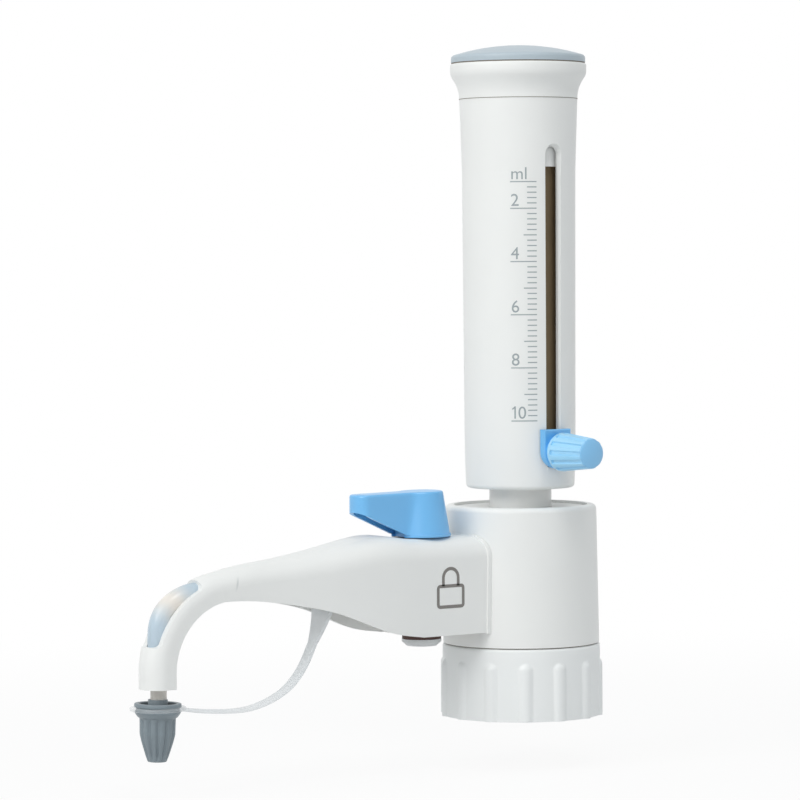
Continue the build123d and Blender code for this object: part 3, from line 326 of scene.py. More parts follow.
# Guide tube
# A dark amber tube round the glass keeps light off the reagent. It is the brown strip that
# shows in the sleeve's slot, and its gloss is dulled by fine scuffs along the stroke.
finish = Finish("amber_plastic")
scuffs = finish.noise(0.5 * mm, 2.0, (1.0, 1.0, 0.06))
amber = finish.mixed(finish.noise(12 * mm, 3.0), (0.19, 0.138, 0.078, 1), (0.23, 0.168, 0.098, 1))
dull, skin = scuffs * 0.2 + 0.38, finish.bumped(scuffs, 0.004 * mm)
surface = finish.principled(Base_Color=amber, Roughness=dull, Normal=skin, Specular_IOR_Level=0.3)
dress(finish.done(surface), "guide_tube")

# Seals
# O-rings and washers of dark fluororubber and clear silicone, with a dull moulded skin and a
# little dust. The valve's ring shows as a red-brown band under the arm.
dark_seals = ["valve_seal_ring", "outlet_seal", "inlet_seal", "piston_ring_low", "piston_ring_high"]
clear_seals = ["bottle_seal", "cylinder_gasket"]
for name, clean, dusty, rough, seals in (
    ("dark_rubber", (0.045, 0.018, 0.013), (0.085, 0.036, 0.027), 0.5, dark_seals),
    ("clear_rubber", (0.70, 0.72, 0.72), (0.80, 0.82, 0.82), 0.45, clear_seals),
):
    finish = Finish(name)
    dust = finish.noise(2.5 * mm, 4.0)
    rubber = finish.mixed(dust, tint(clean), tint(dusty))
    skin = finish.bumped(finish.noise(0.2 * mm), 0.006 * mm)
    surface = finish.principled(Base_Color=rubber, Roughness=dust * 0.2 + rough, Normal=skin)
    dress(finish.done(surface), *seals)

# Screws, pins, spring and the rod's nut
# Stainless steel, turned or drawn, with fine brushed lines and a slightly cloudy shine. The screws
# hold the housing and the knob, the pins the cap's strap, and the spring the discharge ball.
finish = Finish("stainless_steel")
brushed = finish.noise(0.25 * mm, 2.0, (1.0, 1.0, 0.12))
steel = finish.mixed(brushed, (0.55, 0.56, 0.58, 1), (0.68, 0.69, 0.70, 1))
cloudy, skin = brushed * 0.15 + 0.22, finish.bumped(brushed, 0.003 * mm)
surface = finish.principled(Base_Color=steel, Metallic=1.0, Roughness=cloudy, Normal=skin)
stainless_steel = finish.done(surface)
dress(stainless_steel, "housing_screw_front", "housing_screw_back", "knob_screw", "rod_nut")
dress(stainless_steel, "strap_pin_front", "strap_pin_back", "discharge_spring")

# Valve plug and its retainer
# The plug that the lever turns runs down through the arm. Below, a bevelled ring of cloudy,
# almost clear plastic holds it in its seat.
finish = Finish("cloudy_plastic")
milky = finish.noise(3 * mm, 3.0)
cloudy_white = finish.mixed(milky, (0.88, 0.90, 0.91, 1), (0.93, 0.945, 0.95, 1))
surface, through = moulded(finish, cloudy_white, 0.3), finish.translucent((0.86, 0.89, 0.91, 1))
cloudy_plastic = finish.done(finish.layered(milky * 0.1 + 0.25, surface, through))
dress(cloudy_plastic, "valve_retainer", "valve_plug")

# Valve lever
# A thin-walled shell of clear blue plastic: a conical hub runs softly into a flat handle whose
# open underside slopes up to a rounded tip. A notched skirt and a square-holed core hold the plug.
finish = Finish("blue_plastic")
blue = finish.mixed(finish.noise(15 * mm, 3.0), (0.136, 0.475, 0.86, 1), (0.148, 0.497, 0.885, 1))
blue_plastic = finish.done(moulded(finish, blue, 0.30, depth=0.005 * mm, Specular_IOR_Level=1.0))

valve_x, skirt_low, hub_foot, lever_high = -41.6 * mm, 62.1 * mm, 63.0 * mm, 77.1 * mm
hub_low, hub_high, handle_half, lever_wall, lever_edge = 9.5 * mm, 7.1 * mm, 4.75 * mm, 1.3 * mm, 0.8 * mm
handle_root, tip_start, tip_reach, tip_squareness = 2.0 * mm, 23.3 * mm, 4.0 * mm, 0.83
slope_low, slope_start, slope, crown_fall, root_softness = 63.4 * mm, 10.2 * mm, 0.44, 0.012, 1.6 * mm
tip_steps, side_steps, hub_steps, lever_rows, round_rows = 14, 34, 28, 12, 4

# One side of the handle, from the middle of the tip to the hub, and then round behind the hub.
side = []
for step in range(tip_steps + 1):
    a = step * pi / (2 * tip_steps)
    out = tip_start + tip_reach * max(0, cos(a)) ** tip_squareness
    side.append((out, handle_half * sin(a) ** tip_squareness))
for step in range(1, side_steps + 1):
    side.append((tip_start - (tip_start - handle_root) * (step / side_steps), handle_half))
guides = [(atan2(across, out), hypot(out, across)) for out, across in side]
shoulder = guides[-1][0]
for step in range(1, hub_steps + 1):
    angle = shoulder + (pi - shoulder) * step / hub_steps
    guides.append((angle, handle_half / sin(angle) if angle < pi / 2 else handle_half))
guides = [(-angle, reach) for angle, reach in guides[:0:-1]] + guides


def plan(index, height):
    """A point of the lever's outline at a height, as seen from above, out from the valve's axis."""
    angle, reach = guides[index]
    hub = hub_low + (hub_high - hub_low) * (height - hub_foot) / (lever_high - hub_foot)
    return Vector((cos(angle), sin(angle))) * joined(hub, reach, root_softness)


def added(bm, other):
    """One mesh, with another's faces moved into it."""
    mesh = bpy.data.meshes.new("addition")
    other.to_mesh(mesh)
    other.free()
    bm.from_mesh(mesh)
    bpy.data.meshes.remove(mesh)


bm = bmesh.new()
columns, rows = len(guides) - 1, lever_rows + round_rows
bmesh.ops.create_grid(bm, x_segments=columns, y_segments=rows, size=0.5)
for vert in bm.verts:
    index, row = round((vert.co.x + 0.5) * columns), round((vert.co.y + 0.5) * rows)
    share, turn = min(1, row / lever_rows), max(0, row - lever_rows) / round_rows * pi / 2
    low = max(hub_foot, slope_low + slope * (plan(index, hub_foot).x - slope_start))
    height = low + (lever_high - lever_edge - low) * share
    point = plan(index, height)
    along = (plan((index + 1) % columns, height) - plan((index - 1) % columns, height)).normalized()
    point += Vector((-along.y, along.x)) * lever_edge * (1 - cos(turn))
    height += lever_edge * sin(turn) - crown_fall * point.x * share
    vert.co = (-point.x, point.y, height)
bmesh.ops.remove_doubles(bm, verts=bm.verts, dist=0.001 * mm)
open_edges = [edge for edge in bm.edges if edge.is_boundary]
top_rim = [edge for edge in open_edges if min(vert.co.z for vert in edge.verts) > lever_high - lever_edge]
bmesh.ops.edgeloop_fill(bm, edges=top_rim)
bmesh.ops.recalc_face_normals(bm, faces=bm.faces)
bmesh.ops.solidify(bm, geom=bm.faces[:], thickness=lever_wall)

skirt_hole, skirt_radius, skirt_high, ceiling = 8.0 * mm, 9.95 * mm, 63.1 * mm, 75.8 * mm
skirt_ring = [(skirt_hole, skirt_low), (skirt_radius, skirt_low)]
skirt_ring += [(skirt_radius, skirt_high), (skirt_hole, skirt_high)]
skirt = spun(eased(skirt_ring, 0.2 * mm), 128)
notch_half = handle_half - lever_wall
sliced(skirt, [(0, -notch_half, 0), (0, notch_half, 0)], (0, 1, 0))
middles = [(face, face.calc_center_median()) for face in skirt.faces]
notch = [face for face, middle in middles if abs(middle.y) < notch_half and middle.x < 0]
bmesh.ops.delete(skirt, geom=notch, context="FACES")
bmesh.ops.holes_fill(skirt, edges=skirt.edges[:])
added(bm, skirt)
added(bm, spun([(7.3 * mm, 62.3 * mm), (8.9 * mm, 62.3 * mm), (6.8 * mm, ceiling), (6.2 * mm, ceiling)], 96))
core_hole, core_radius, square_half = 3.0 * mm, 5.2 * mm, 2.5 * mm
core_wall = [(core_hole, hub_foot), (core_radius, hub_foot), (core_radius, ceiling), (core_hole, ceiling)]
core = spun(core_wall, 96)
for vert in core.verts:
    if hypot(vert.co.x, vert.co.y) < (core_hole + core_radius) / 2:
        vert.co.xy *= square_half / max(abs(vert.co.x), abs(vert.co.y))
added(bm, core)
bmesh.ops.translate(bm, verts=bm.verts, vec=(valve_x, 0, 0))
lever = made("lever_shell", bm, blue_plastic, "lever", "purge_lever", crease=40)

# Slider and clamp knob
# The slider's plate rides on the sleeve's slot and shows the volume set. Its twelve-fluted knob,
# moulded in the same blue, draws it tight. Its sides are painted paler as a painted highlight and
# its end face darker as painted shade.
dress(blue_plastic, "slider_plate")
finish = Finish("knob_plastic")
y = finish.axes()[1]
# Painted light: paler sides as a painted highlight, a darker end face as painted shade.
sides = y.over(-38.9 * mm, -38.2 * mm) * 0.9 + finish.noise(15 * mm, 3.0) * 0.1
knob_blue_with_painted_light = finish.mixed(sides, (0.205, 0.53, 0.86, 1), (0.365, 0.71, 0.97, 1))
knob_plastic = finish.done(moulded(finish, knob_blue_with_painted_light, 0.30, depth=0.005 * mm, Specular_IOR_Level=1.0))

knob_high, knob_base, flute_count, flute_depth = 89.4 * mm, 23.0 * mm, 12, 0.62 * mm
flute_half, flute_flank, flute_end, flute_fade = 0.86 * mm, 0.34 * mm, 15.9 * mm, 1.2 * mm
collar = [(0.0, 0.0), (6.2, 0.0), (6.4, 0.2), (6.4, 1.3)]
edge = [(5.1, 15.2), (5.02, 15.55), (4.8, 15.85), (4.45, 16.05)]
dome = [(3.6, 16.25), (2.6, 16.45), (1.3, 16.62), (0.0, 16.7)]
bm = spun([(radius * mm, out * mm) for radius, out in collar + edge + dome], 432, closed=False)
sliced(bm, [(0, 0, (1.34 + 0.22 * row) * mm) for row in range(66)], (0, 0, 1))
for vert in bm.verts:
    radius, out = hypot(vert.co.x, vert.co.y), vert.co.z
    if radius > 4.3 * mm and out > 1.32 * mm:
        step = 2 * pi / flute_count
        turn = (atan2(vert.co.y, vert.co.x) + step / 2) % step - step / 2
        groove = min(1, max(0, (flute_half - abs(radius * sin(turn))) / flute_flank))
        groove *= min(1, max(0, flute_end - out) / flute_fade)
        vert.co.xy *= 1 - flute_depth * groove / radius
bmesh.ops.rotate(bm, verts=bm.verts, cent=(0, 0, 0), matrix=Matrix.Rotation(pi / 2, 3, "X"))
bmesh.ops.translate(bm, verts=bm.verts, vec=(0, -knob_base, knob_high))
knob = made("fluted_knob", bm, knob_plastic, "knob", "clamp_knob", crease=28)

# Sleeve head
# The sleeve ends in a moulded head that flares softly to a rim. A web inside carries the piston's
# rod, and a spigot below it is pressed into the sleeve.
flare = [(17.1, 207.4), (19.95, 207.4), (19.97, 208.6), (20.14, 209.9)]
flare += [(20.5, 211.3), (21.05, 212.6), (21.75, 213.8), (22.4, 214.8)]
rim = [(22.8, 215.7), (22.95, 216.8), (22.95, 218.5), (22.85, 218.95), (22.6, 219.25), (22.15, 219.4)]
web = [(16.5, 219.4), (16.5, 207.4), (2.9, 207.4), (2.9, 203.8), (15.2, 203.8)]
spigot = [(15.2, 198.4), (17.1, 198.4)]
bm = spun([(radius * mm, height * mm) for radius, height in flare + rim + web + spigot], 192)
head = made("flared_head", bm, white_plastic, "sleeve", "sleeve_head")

# Top cap
# A pale blue-grey disc with a low crown is pressed into the head and hides the rod's nut. Its
# thin seam shows as a brownish line of painted shade against the white rim.
finish = Finish("cap_plastic")
cap_grey = finish.mixed(finish.noise(12 * mm, 3.0), (0.445, 0.52, 0.572, 1), (0.467, 0.545, 0.597, 1))
dress(finish.done(moulded(finish, cap_grey, 0.4)), "top_cap")

# Seams
# Thin shadow gaps part the cap from the head, the head from the sleeve and the cover from the
# nut. A recessed lip of the lower part fills each, painted dark brown as painted shade for the gap,
# with a little dust.
finish = Finish("seam_shade_and_dust")
dust = finish.noise(3 * mm, 4.0)
# Painted shade: the dark brown stands for the shadow inside each gap, mixed with a little dust.
seam_brown_shade = finish.mixed(dust, (0.17, 0.145, 0.115, 1), (0.25, 0.22, 0.18, 1))
seam_shade_and_dust = finish.done(finish.principled(Base_Color=seam_brown_shade, Roughness=dust * 0.2 + 0.6))
lip = 0.8 * mm
for name, body, radius, low, high in (
    ("cap_seam", "sleeve", 22.45 * mm, 219.3 * mm, 219.75 * mm),
    ("head_seam", "sleeve", 19.99 * mm, 207.36 * mm, 207.56 * mm),
    ("nut_seam", "base", 25.9 * mm, 24.25 * mm, 24.6 * mm),
):
    bm = spun([(radius, low), (radius, high), (radius - lip, high), (radius - lip, low)], 128)
    made(name, bm, seam_shade_and_dust, body)

# Slot's foot
# The slot's round lower end stops just above the slider's plate at rest, so a short web of the
# sleeve closes what would show below the knob.
foot_size, foot_y, foot_z = (5.4 * mm, 1.5 * mm, 1.2 * mm), -17.75 * mm, 83.6 * mm
bm = bmesh.new()
bmesh.ops.create_cube(bm, size=1.0)
bmesh.ops.scale(bm, verts=bm.verts, vec=foot_size)
bmesh.ops.translate(bm, verts=bm.verts, vec=(0, foot_y, foot_z))
made("slot_foot", bm, white_plastic, "sleeve")

# Printed scale
# The volume scale is pad-printed in thin grey ink beside the slot: a line each 0.2 ml from 1 to
# 10 ml, longer at each whole millilitre, with the even ones numbered and their unit above.
finish = Finish("grey_ink")
speckle = finish.noise(0.12 * mm, 2.0)
ink = finish.mixed(speckle, (0.30, 0.34, 0.355, 1), (0.40, 0.445, 0.46, 1))
grey_ink = finish.done(finish.principled(Base_Color=ink, Roughness=speckle * 0.1 + 0.5))
print_turn, print_radius, ink_rise, letter_size = radians(250.6), 18.9 * mm, 0.04 * mm, 5.8 * mm


def sleeve_radius(height):
    """Outside radius of the sleeve, which widens upwards."""
    low, high, narrow, swell = 90.0 * mm, 183.0 * mm, 18.7 * mm, 0.4 * mm
    return narrow + swell * min(1, max(0, (height - low) / (high - low)))


def wrapped(bm, name):
    """Flat print, x along the wall and y up, laid round the sleeve just clear of its wall."""
    for vert in bm.verts:
        height = vert.co.y
        angle = print_turn + vert.co.x / print_radius
        radius = sleeve_radius(height) + ink_rise
        vert.co = (radius * cos(angle), radius * sin(angle), height)
    made(name, bm, grey_ink, "sleeve")


def stroke(bm, path, width, closed):
    """Flat band of one width along a path of (x, y) points."""
    count = len(path)
    near, far = [], []
    for index, point in enumerate(path):
        before = path[index - 1] if closed or index else point
        after = path[(index + 1) % count] if closed or index < count - 1 else point
        along = (Vector(after) - Vector(before)).normalized() * width / 2
        near.append(bm.verts.new((point[0] - along.y, point[1] + along.x, 0)))
        far.append(bm.verts.new((point[0] + along.y, point[1] - along.x, 0)))
    for index in range(count if closed else count - 1):
        after = (index + 1) % count
        bm.faces.new((near[index], near[after], far[after], far[index]))


def lettered(bm, text, left, foot):
    """Letters of the built-in typeface, made a mesh and added to flat print."""
    curve = bpy.data.curves.new("letters", "FONT")
    curve.body, curve.size = text, letter_size
    letters = bpy.data.objects.new("letters", curve)
    mesh = bpy.data.meshes.new_from_object(letters)
    mesh.transform(Matrix.Translation((left, foot, 0)))
    bm.from_mesh(mesh)
    bpy.data.objects.remove(letters)
    bpy.data.meshes.remove(mesh)


volume_pitch, lowest_line, line_width = 8.842 * mm, 99.8 * mm, 0.34 * mm
short_line, whole_line, numbered_line = 3.2 * mm, 4.4 * mm, 8.8 * mm
bm = bmesh.new()
for line in range(46):
    height = lowest_line + line * volume_pitch / 5
    volume = 10 - line / 5
    length = short_line
    if line % 5 == 0:
        length = numbered_line if volume % 2 == 0 or volume == 1 else whole_line
    place = Matrix.Translation((-length / 2, height, 0)) @ Matrix.Diagonal((length, line_width, 1, 1))
    bmesh.ops.create_grid(bm, x_segments=8, y_segments=1, size=0.5, matrix=place)
wrapped(bm, "scale_lines")

bm = bmesh.new()
text_left, text_rise = -8.7 * mm, 0.8 * mm
for volume in (2, 4, 6, 8):
    lettered(bm, str(volume), text_left, lowest_line + (10 - volume) * volume_pitch + text_rise)
lettered(bm, "ml", text_left, lowest_line + 9 * volume_pitch + text_rise)
lettered(bm, "0", text_left + 2.1 * mm, lowest_line + text_rise)
one_x, one_foot = text_left + 1.15 * mm, lowest_line + text_rise
one_top = one_foot + 4.1 * mm
stroke(bm, [(one_x, one_foot), (one_x, one_top - 0.02 * mm)], 0.5 * mm, False)
stroke(bm, [(one_x, one_top - 0.25 * mm), (one_x - 0.95 * mm, one_top - 1.0 * mm)], 0.42 * mm, False)
sliced(bm, [((-9 + 0.4 * cut) * mm, 0, 0) for cut in range(20)], (1, 0, 0))
wrapped(bm, "scale_numbers")

# Lock sign
# A plain padlock outline is printed in warm grey on the arm's side, below the lever: one
# rounded square for its body and an arch for its shackle.
finish = Finish("warm_ink")
speckle = finish.noise(0.12 * mm, 2.0)
ink = finish.mixed(speckle, (0.19, 0.178, 0.165, 1), (0.245, 0.23, 0.215, 1))
warm_ink = finish.done(finish.principled(Base_Color=ink, Roughness=speckle * 0.1 + 0.5))
sign_left, sign_right, sign_low, sign_high = -44.15 * mm, -33.95 * mm, 39.35 * mm, 46.2 * mm
sign_line = 1.1 * mm
arch_x, arch_z, arch_radius, arm_side = -39.0 * mm, 48.9 * mm, 3.03 * mm, -13.04 * mm
bm = bmesh.new()
square = [(sign_right, sign_low), (sign_left, sign_low), (sign_left, sign_high), (sign_right, sign_high)]
stroke(bm, eased(square, 0.9 * mm), sign_line, True)
turns = [pi * step / 20 for step in range(21)]
arch = [(arch_x + arch_radius * cos(turn), arch_z + arch_radius * sin(turn)) for turn in turns]
stroke(bm, [(arch[0][0], sign_high)] + arch + [(arch[-1][0], sign_high)], sign_line, False)
bmesh.ops.rotate(bm, verts=bm.verts, cent=(0, 0, 0), matrix=Matrix.Rotation(pi / 2, 3, "X"))
bmesh.ops.translate(bm, verts=bm.verts, vec=(0, arm_side, 0))
lock = made("lock_sign", bm, warm_ink, "base")

# Discharge tube and sheath
# The tube is cream fluoroplastic. A clear sheath lies over it in the spout's bend and fills the
# window: painted blue-grey at its ends as a painted reflection, and cream in the middle where the
# tube shines through.
finish = Finish("tube_plastic")
cream = finish.mixed(finish.noise(5 * mm, 3.0), (0.95, 0.915, 0.86, 1), (0.98, 0.945, 0.89, 1))
surface, through = moulded(finish, cream, 0.32, Alpha=0.75), finish.translucent((0.965, 0.93, 0.875, 1))
dress(finish.done(finish.layered(0.25, surface, through)), "discharge_tube")


def smooth_line(points, order=3):
    """A smooth open curve in the XZ plane, guided by points (distance out, height) in millimetres."""
    curve = bpy.data.curves.new("guide_line", "CURVE")
    curve.dimensions, curve.resolution_u = "3D", 12
    spline = curve.splines.new("NURBS")
    spline.points.add(len(points) - 1)
    for point, (out, high) in zip(spline.points, points):
        point.co = (-out * mm, 0, high * mm, 1)
    spline.order_u, spline.use_endpoint_u = order, True
    line = bpy.data.objects.new("guide_line", curve)
    mesh = bpy.data.meshes.new_from_object(line)
    places = [vert.co.copy() for vert in mesh.vertices]
    bpy.data.objects.remove(line)
    bpy.data.meshes.remove(mesh)
    return places


# The bend by its angle from upright in degrees and its radius round a middle, in millimetres.
bend_out, bend_high, sheath_radius = 119.5, 23.5, 3.3 * mm
bend = [(8, 25.4), (15, 25.5), (21, 26.4), (27, 27.7), (34, 28.6), (42, 29.5)]
bend += [(50, 29.9), (58, 29.2), (66, 27.6), (74, 26.0), (82, 25.3), (90, 25.0)]
sheath_guide = []
for angle, radius in bend:
    sheath_guide.append((bend_out + radius * sin(radians(angle)), bend_high + radius * cos(radians(angle))))
places = smooth_line(sheath_guide)
bm = bmesh.new()
rows = len(places) - 1
bmesh.ops.create_grid(bm, x_segments=rows, y_segments=40, size=0.5)
for vert in bm.verts:
    row, turn = round((vert.co.x + 0.5) * rows), 2 * pi * (vert.co.y + 0.5)
    along = (places[min(row + 1, rows)] - places[max(row - 1, 0)]).normalized()
    side = Vector((-along.z, 0, along.x))
    vert.co = places[row] + (side * cos(turn) + Vector((0, 1, 0)) * sin(turn)) * sheath_radius
bmesh.ops.remove_doubles(bm, verts=bm.verts, dist=0.01 * mm)
finish = Finish("sheath_plastic")
# Painted reflection: the sheath's blue-grey ends stand for reflections on the clear plastic.
sheath_reflection_blue, sheath_cream = (0.655, 0.78, 0.88, 1), (1.0, 0.965, 0.92, 1)
cream_place, cream_reach = -92.0 * mm, 13.5 * mm
x, _, z = finish.axes()
drift = finish.noise(7 * mm, 3.0) * 5 * mm
middle = (z + x + drift).about(cream_place, cream_reach)
sheath_tint = finish.mixed(middle, sheath_reflection_blue, sheath_cream)
skin = finish.noise(3 * mm)
dull, ripple = skin * 0.1 + 0.16, finish.bumped(skin, 0.02 * mm)
surface = finish.principled(Base_Color=sheath_tint, Roughness=dull, Coat_Weight=0.3, Normal=ripple)
through = finish.layered(middle, finish.translucent(sheath_reflection_blue), finish.translucent(sheath_cream))
sheath_plastic = finish.done(finish.layered(middle * 0.1 + 0.3, surface, through))
sheath = made("bend_sheath", bm, sheath_plastic, "base", "tube_sheath")

# Nozzle cap
# Moulded in soft slate grey with twelve shallow flutes that fade below its flange. The strap's
# ring sits in the groove, and inside the cup a bush slips over the tube.
cap_x, cap_low, cap_pivot, cap_lean = -144.8 * mm, -4.6, 14 * mm, radians(1.5)
flute_high, flute_fade, flute_low, foot_fade = 9.4 * mm, 0.8 * mm, -4.5 * mm, 2.2 * mm
cup = [(3.0, cap_low), (3.75, -2.7), (5.15, 1.7), (5.75, 4.2)]
flange = [(5.85, 9.5), (6.3, 9.55), (7.3, 10.95), (7.3, 11.6)]
groove = [(6.9, 11.6), (6.9, 12.8), (7.5, 12.8), (7.5, 14.0), (5.9, 14.0), (5.9, 10.4)]
bush = [(3.15, 10.4), (3.15, 15.2), (2.65, 15.2), (2.65, 5.1), (0.0, 5.1)]
outline = [(0.0, cap_low)] + cup + flange + groove + bush
outline = [(radius * mm, height * mm) for radius, height in outline]
outline = [(max(0.0, radius), height) for radius, height in eased(outline, 0.35 * mm, 3)[3:-3]]
bm = spun([(0.0, cap_low * mm)] + outline + [(0.0, 5.1 * mm)], 360, closed=False)
sliced(bm, [(0, 0, (-4.4 + 0.4 * row) * mm) for row in range(35)], (0, 0, 1))
for vert in bm.verts:
    radius, height = hypot(vert.co.x, vert.co.y), vert.co.z
    if radius > 2.7 * mm and height < flute_high:
        wave = 0.5 - 0.5 * cos(flute_count * atan2(vert.co.y, vert.co.x))
        fade = min(1, max(0, flute_high - height) / flute_fade)
        fade *= min(1, max(0, height - flute_low) / foot_fade)
        vert.co.xy *= 1 - flute_depth * (1 - wave) ** 2 * fade / radius
bmesh.ops.rotate(bm, verts=bm.verts, cent=(0, 0, cap_pivot), matrix=Matrix.Rotation(cap_lean, 3, "Y"))
bmesh.ops.translate(bm, verts=bm.verts, vec=(cap_x, 0, 0))
finish = Finish("slate_rubber")
x, y, z = finish.axes()
# The recess inside the cup, between the bush and the wall, is painted dark brown as painted shade.
across = finish.node("ShaderNodeCombineXYZ", {}, {0: x - cap_x, 1: y})
from_axis = finish.node("ShaderNodeVectorMath", {"operation": "LENGTH"}, {0: across}, out="Value")
cup_painted_shade = from_axis.over(3.2 * mm, 3.3 * mm) * (1 - from_axis.over(5.8 * mm, 5.95 * mm))
cup_painted_shade = cup_painted_shade * z.over(10.2 * mm, 10.6 * mm)
slate = finish.mixed(finish.noise(6 * mm, 3.0), (0.185, 0.228, 0.254, 1), (0.205, 0.25, 0.28, 1))
slate = finish.mixed(cup_painted_shade, slate, (0.075, 0.05, 0.032, 1))
slate_rubber = finish.done(moulded(finish, slate, 0.42, depth=0.012 * mm, Specular_IOR_Level=0.7))
cap = made("fluted_cap", bm, slate_rubber, "cap", "nozzle_cap")

# Cap strap
# One moulding of soft, cloudy plastic: a ring round the cap's groove and a band that hangs in a
# bow, climbs and flares to a tab behind the arm's wall, where two pins hold it.
strap_thick, strap_half, tab_extra, tab_low, tab_rise = 1.2 * mm, 2.15 * mm, 3.25 * mm, 29.5 * mm, 10 * mm
ring_hole, ring_radius, ring_low, ring_high = 6.95 * mm, 9.0 * mm, 11.65 * mm, 12.75 * mm
route = [(138.3, 12.2), (136.5, 12.2), (132.6, 11.2), (121.3, 10.1), (111.4, 9.7), (102.9, 12.0)]
route += [(96.9, 14.8), (93.4, 17.8), (90.8, 20.8), (88.8, 23.9), (87.2, 27.1), (85.6, 30.2)]
route += [(84.2, 33.4), (82.9, 36.8), (81.9, 40.2), (81.9, 44.0)]
centre = smooth_line(route, 4)
bm = bmesh.new()
rows = len(centre) - 1
bmesh.ops.create_grid(bm, x_segments=rows, y_segments=8, size=0.5)
for vert in bm.verts:
    point = centre[round((vert.co.x + 0.5) * rows)]
    half = strap_half + tab_extra * min(1, max(0, (point.z - tab_low) / tab_rise))
    vert.co = (point.x, vert.co.y * 2 * half, point.z)
bmesh.ops.recalc_face_normals(bm, faces=bm.faces)
bmesh.ops.solidify(bm, geom=bm.faces[:], thickness=strap_thick)
rim_edges = [edge for edge in bm.edges if edge.calc_face_angle(0) > 1.0]
rounding = {"offset": 0.25 * mm, "offset_type": "OFFSET", "segments": 2, "profile": 0.5}
bmesh.ops.bevel(bm, geom=rim_edges, affect="EDGES", material=-1, **rounding)
ring_band = [(ring_hole, ring_low), (ring_radius, ring_low), (ring_radius, ring_high), (ring_hole, ring_high)]
ring = spun(eased(ring_band, 0.35 * mm), 128)
bmesh.ops.translate(ring, verts=ring.verts, vec=(cap_x, 0, 0))
added(bm, ring)
finish = Finish("strap_plastic")
milky = finish.noise(4 * mm, 3.0)
streaks = finish.noise(1.2 * mm, 2.0, (0.3, 1.0, 0.3))
strap_white = finish.mixed(milky, (0.84, 0.87, 0.885, 1), (0.90, 0.92, 0.93, 1))
x = finish.axes()[0]
dense = x.over(-138 * mm, -134 * mm) * 0.33 + x.over(-105 * mm, -85 * mm) * 0.25 + milky * 0.05 + 0.12
dull, grain = streaks * 0.12 + 0.3, finish.bumped(streaks, 0.01 * mm)
surface = finish.principled(Base_Color=strap_white, Roughness=dull, Normal=grain, Alpha=dense)
through = finish.translucent((0.95, 0.97, 0.985, 1))
strap_plastic = finish.done(finish.layered(milky * 0.1 + 0.12, surface, through))
strap = made("strap_band", bm, strap_plastic, None, "cap_strap", crease=50)
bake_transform(strap)

# Floor
# A wide sheet of plain white paper, lying low enough for the nozzle cap to be pulled off the
# tube above it. It keeps the object's soft shadow, and clear plastic sees it lit evenly to white.
cap_travel, floor_gap, floor_radius = 12 * mm, 0.5 * mm, 6.0
glow_near, glow_far = 150 * mm, 500 * mm


def looked_at(finish):
    """1 for what the lens sees, straight, in a gloss or through clear plastic, and 0 for lighting."""
    rays = finish.node("ShaderNodeLightPath").socket.node.outputs
    straight, gloss, through = rays["Is Camera Ray"], rays["Is Glossy Ray"], rays["Is Transmission Ray"]
    return Value(finish, straight) + Value(finish, gloss) + Value(finish, through)


bm = bmesh.new()
bmesh.ops.create_circle(bm, cap_ends=True, segments=96, radius=floor_radius)
bmesh.ops.translate(bm, verts=bm.verts, vec=(0, 0, cad_box[0].z - cap_travel - floor_gap))
finish = Finish("white_paper")
paper = finish.mixed(finish.noise(4 * mm, 4.0), (0.80, 0.80, 0.80, 1), (0.82, 0.82, 0.82, 1))
matt = finish.node("ShaderNodeBsdfDiffuse", {}, {"Color": paper})
glow = finish.node("ShaderNodeEmission", {}, {"Color": (1, 1, 1, 1), "Strength": 1.0})
away = finish.node("ShaderNodeVectorMath", {"operation": "LENGTH"}, {0: finish.place}, out="Value")
share = looked_at(finish) * (away.over(glow_near, glow_far) * 0.08 + 0.92)
white_paper = finish.done(finish.layered(share, matt, glow))
studio_floor = made("studio_floor", bm, white_paper, None)

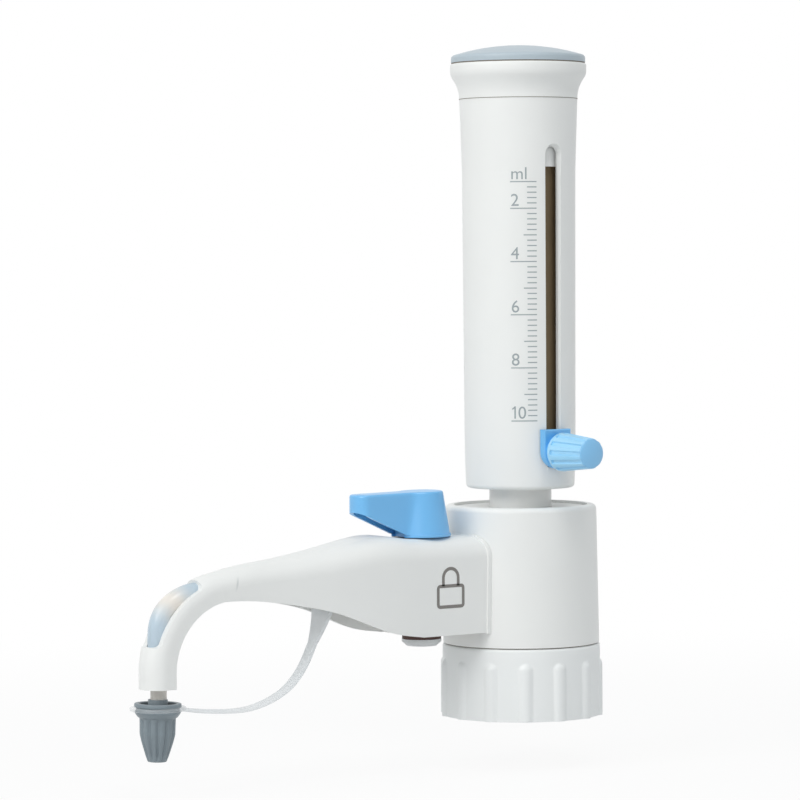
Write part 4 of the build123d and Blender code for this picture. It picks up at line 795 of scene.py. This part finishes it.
# Studio light
# A white room with one large soft box high on the left, so that the left sides are bright and
# the right sides fall off to a cool grey, and two smaller ones above and in front.
room = Finish("white_room", world=True)
fill = room.node("ShaderNodeBackground", {}, {"Color": (0.93, 0.975, 1.0, 1), "Strength": 0.52})
backdrop = room.node("ShaderNodeBackground", {}, {"Color": (1, 1, 1, 1), "Strength": 1.0})
share = looked_at(room).worked("MINIMUM", 1)
bpy.context.scene.world = room.done(room.layered(share, fill, backdrop), "ShaderNodeOutputWorld")

aimed_at = Vector((-50 * mm, 0, 110 * mm))
for name, azimuth, elevation, distance, size, watts, colour in (
    ("soft_box", 190, 36, 1.6, 1.1, 10.5, (1, 0.99, 0.97)),
    ("top_light", 258, 62, 1.5, 0.45, 3.6, (1, 1, 1)),
    ("front_light", 228, 22, 1.5, 0.45, 1.0, (1, 1, 1)),
):
    light = bpy.data.lights.new(name, "AREA")
    light.shape, light.size, light.energy, light.color = "DISK", size, watts, colour
    lamp = bpy.data.objects.new(name, light)
    turn, tilt = radians(azimuth), radians(elevation)
    away = Vector((cos(turn) * cos(tilt), sin(turn) * cos(tilt), sin(tilt)))
    aim = (-away).to_track_quat("-Z", "Y").to_matrix().to_4x4()
    lamp.matrix_world = Matrix.Translation(aimed_at + away * distance) @ aim
    bpy.context.scene.collection.objects.link(lamp)

# Camera
# The photograph was taken from the front left, level with the middle of the sleeve, with a long
# lens about 1.3 metres away that leans a trifle to one side.
camera = bpy.data.objects.new("camera", bpy.data.cameras.new("camera"))
camera.data.lens, camera.data.sensor_width = 171.2393, 36.0
camera.data.clip_start, camera.data.clip_end = 0.05, 30.0
eye = Vector((-0.78048, -1.02082, 0.154))
heading, pitch, roll = radians(54.4050), radians(-2.12381), radians(-0.37759)
forward = Vector((cos(heading) * cos(pitch), sin(heading) * cos(pitch), sin(pitch)))
level = Vector((sin(heading), -cos(heading), 0))
upright = level.cross(forward)
right = level * cos(roll) + upright * sin(roll)
up = -level * sin(roll) + upright * cos(roll)
camera.matrix_world = Matrix.Translation(eye) @ Matrix((right, up, -forward)).transposed().to_4x4()
bpy.context.scene.collection.objects.link(camera)
bpy.context.scene.camera = camera
bpy.context.scene.view_settings.view_transform = "Standard"
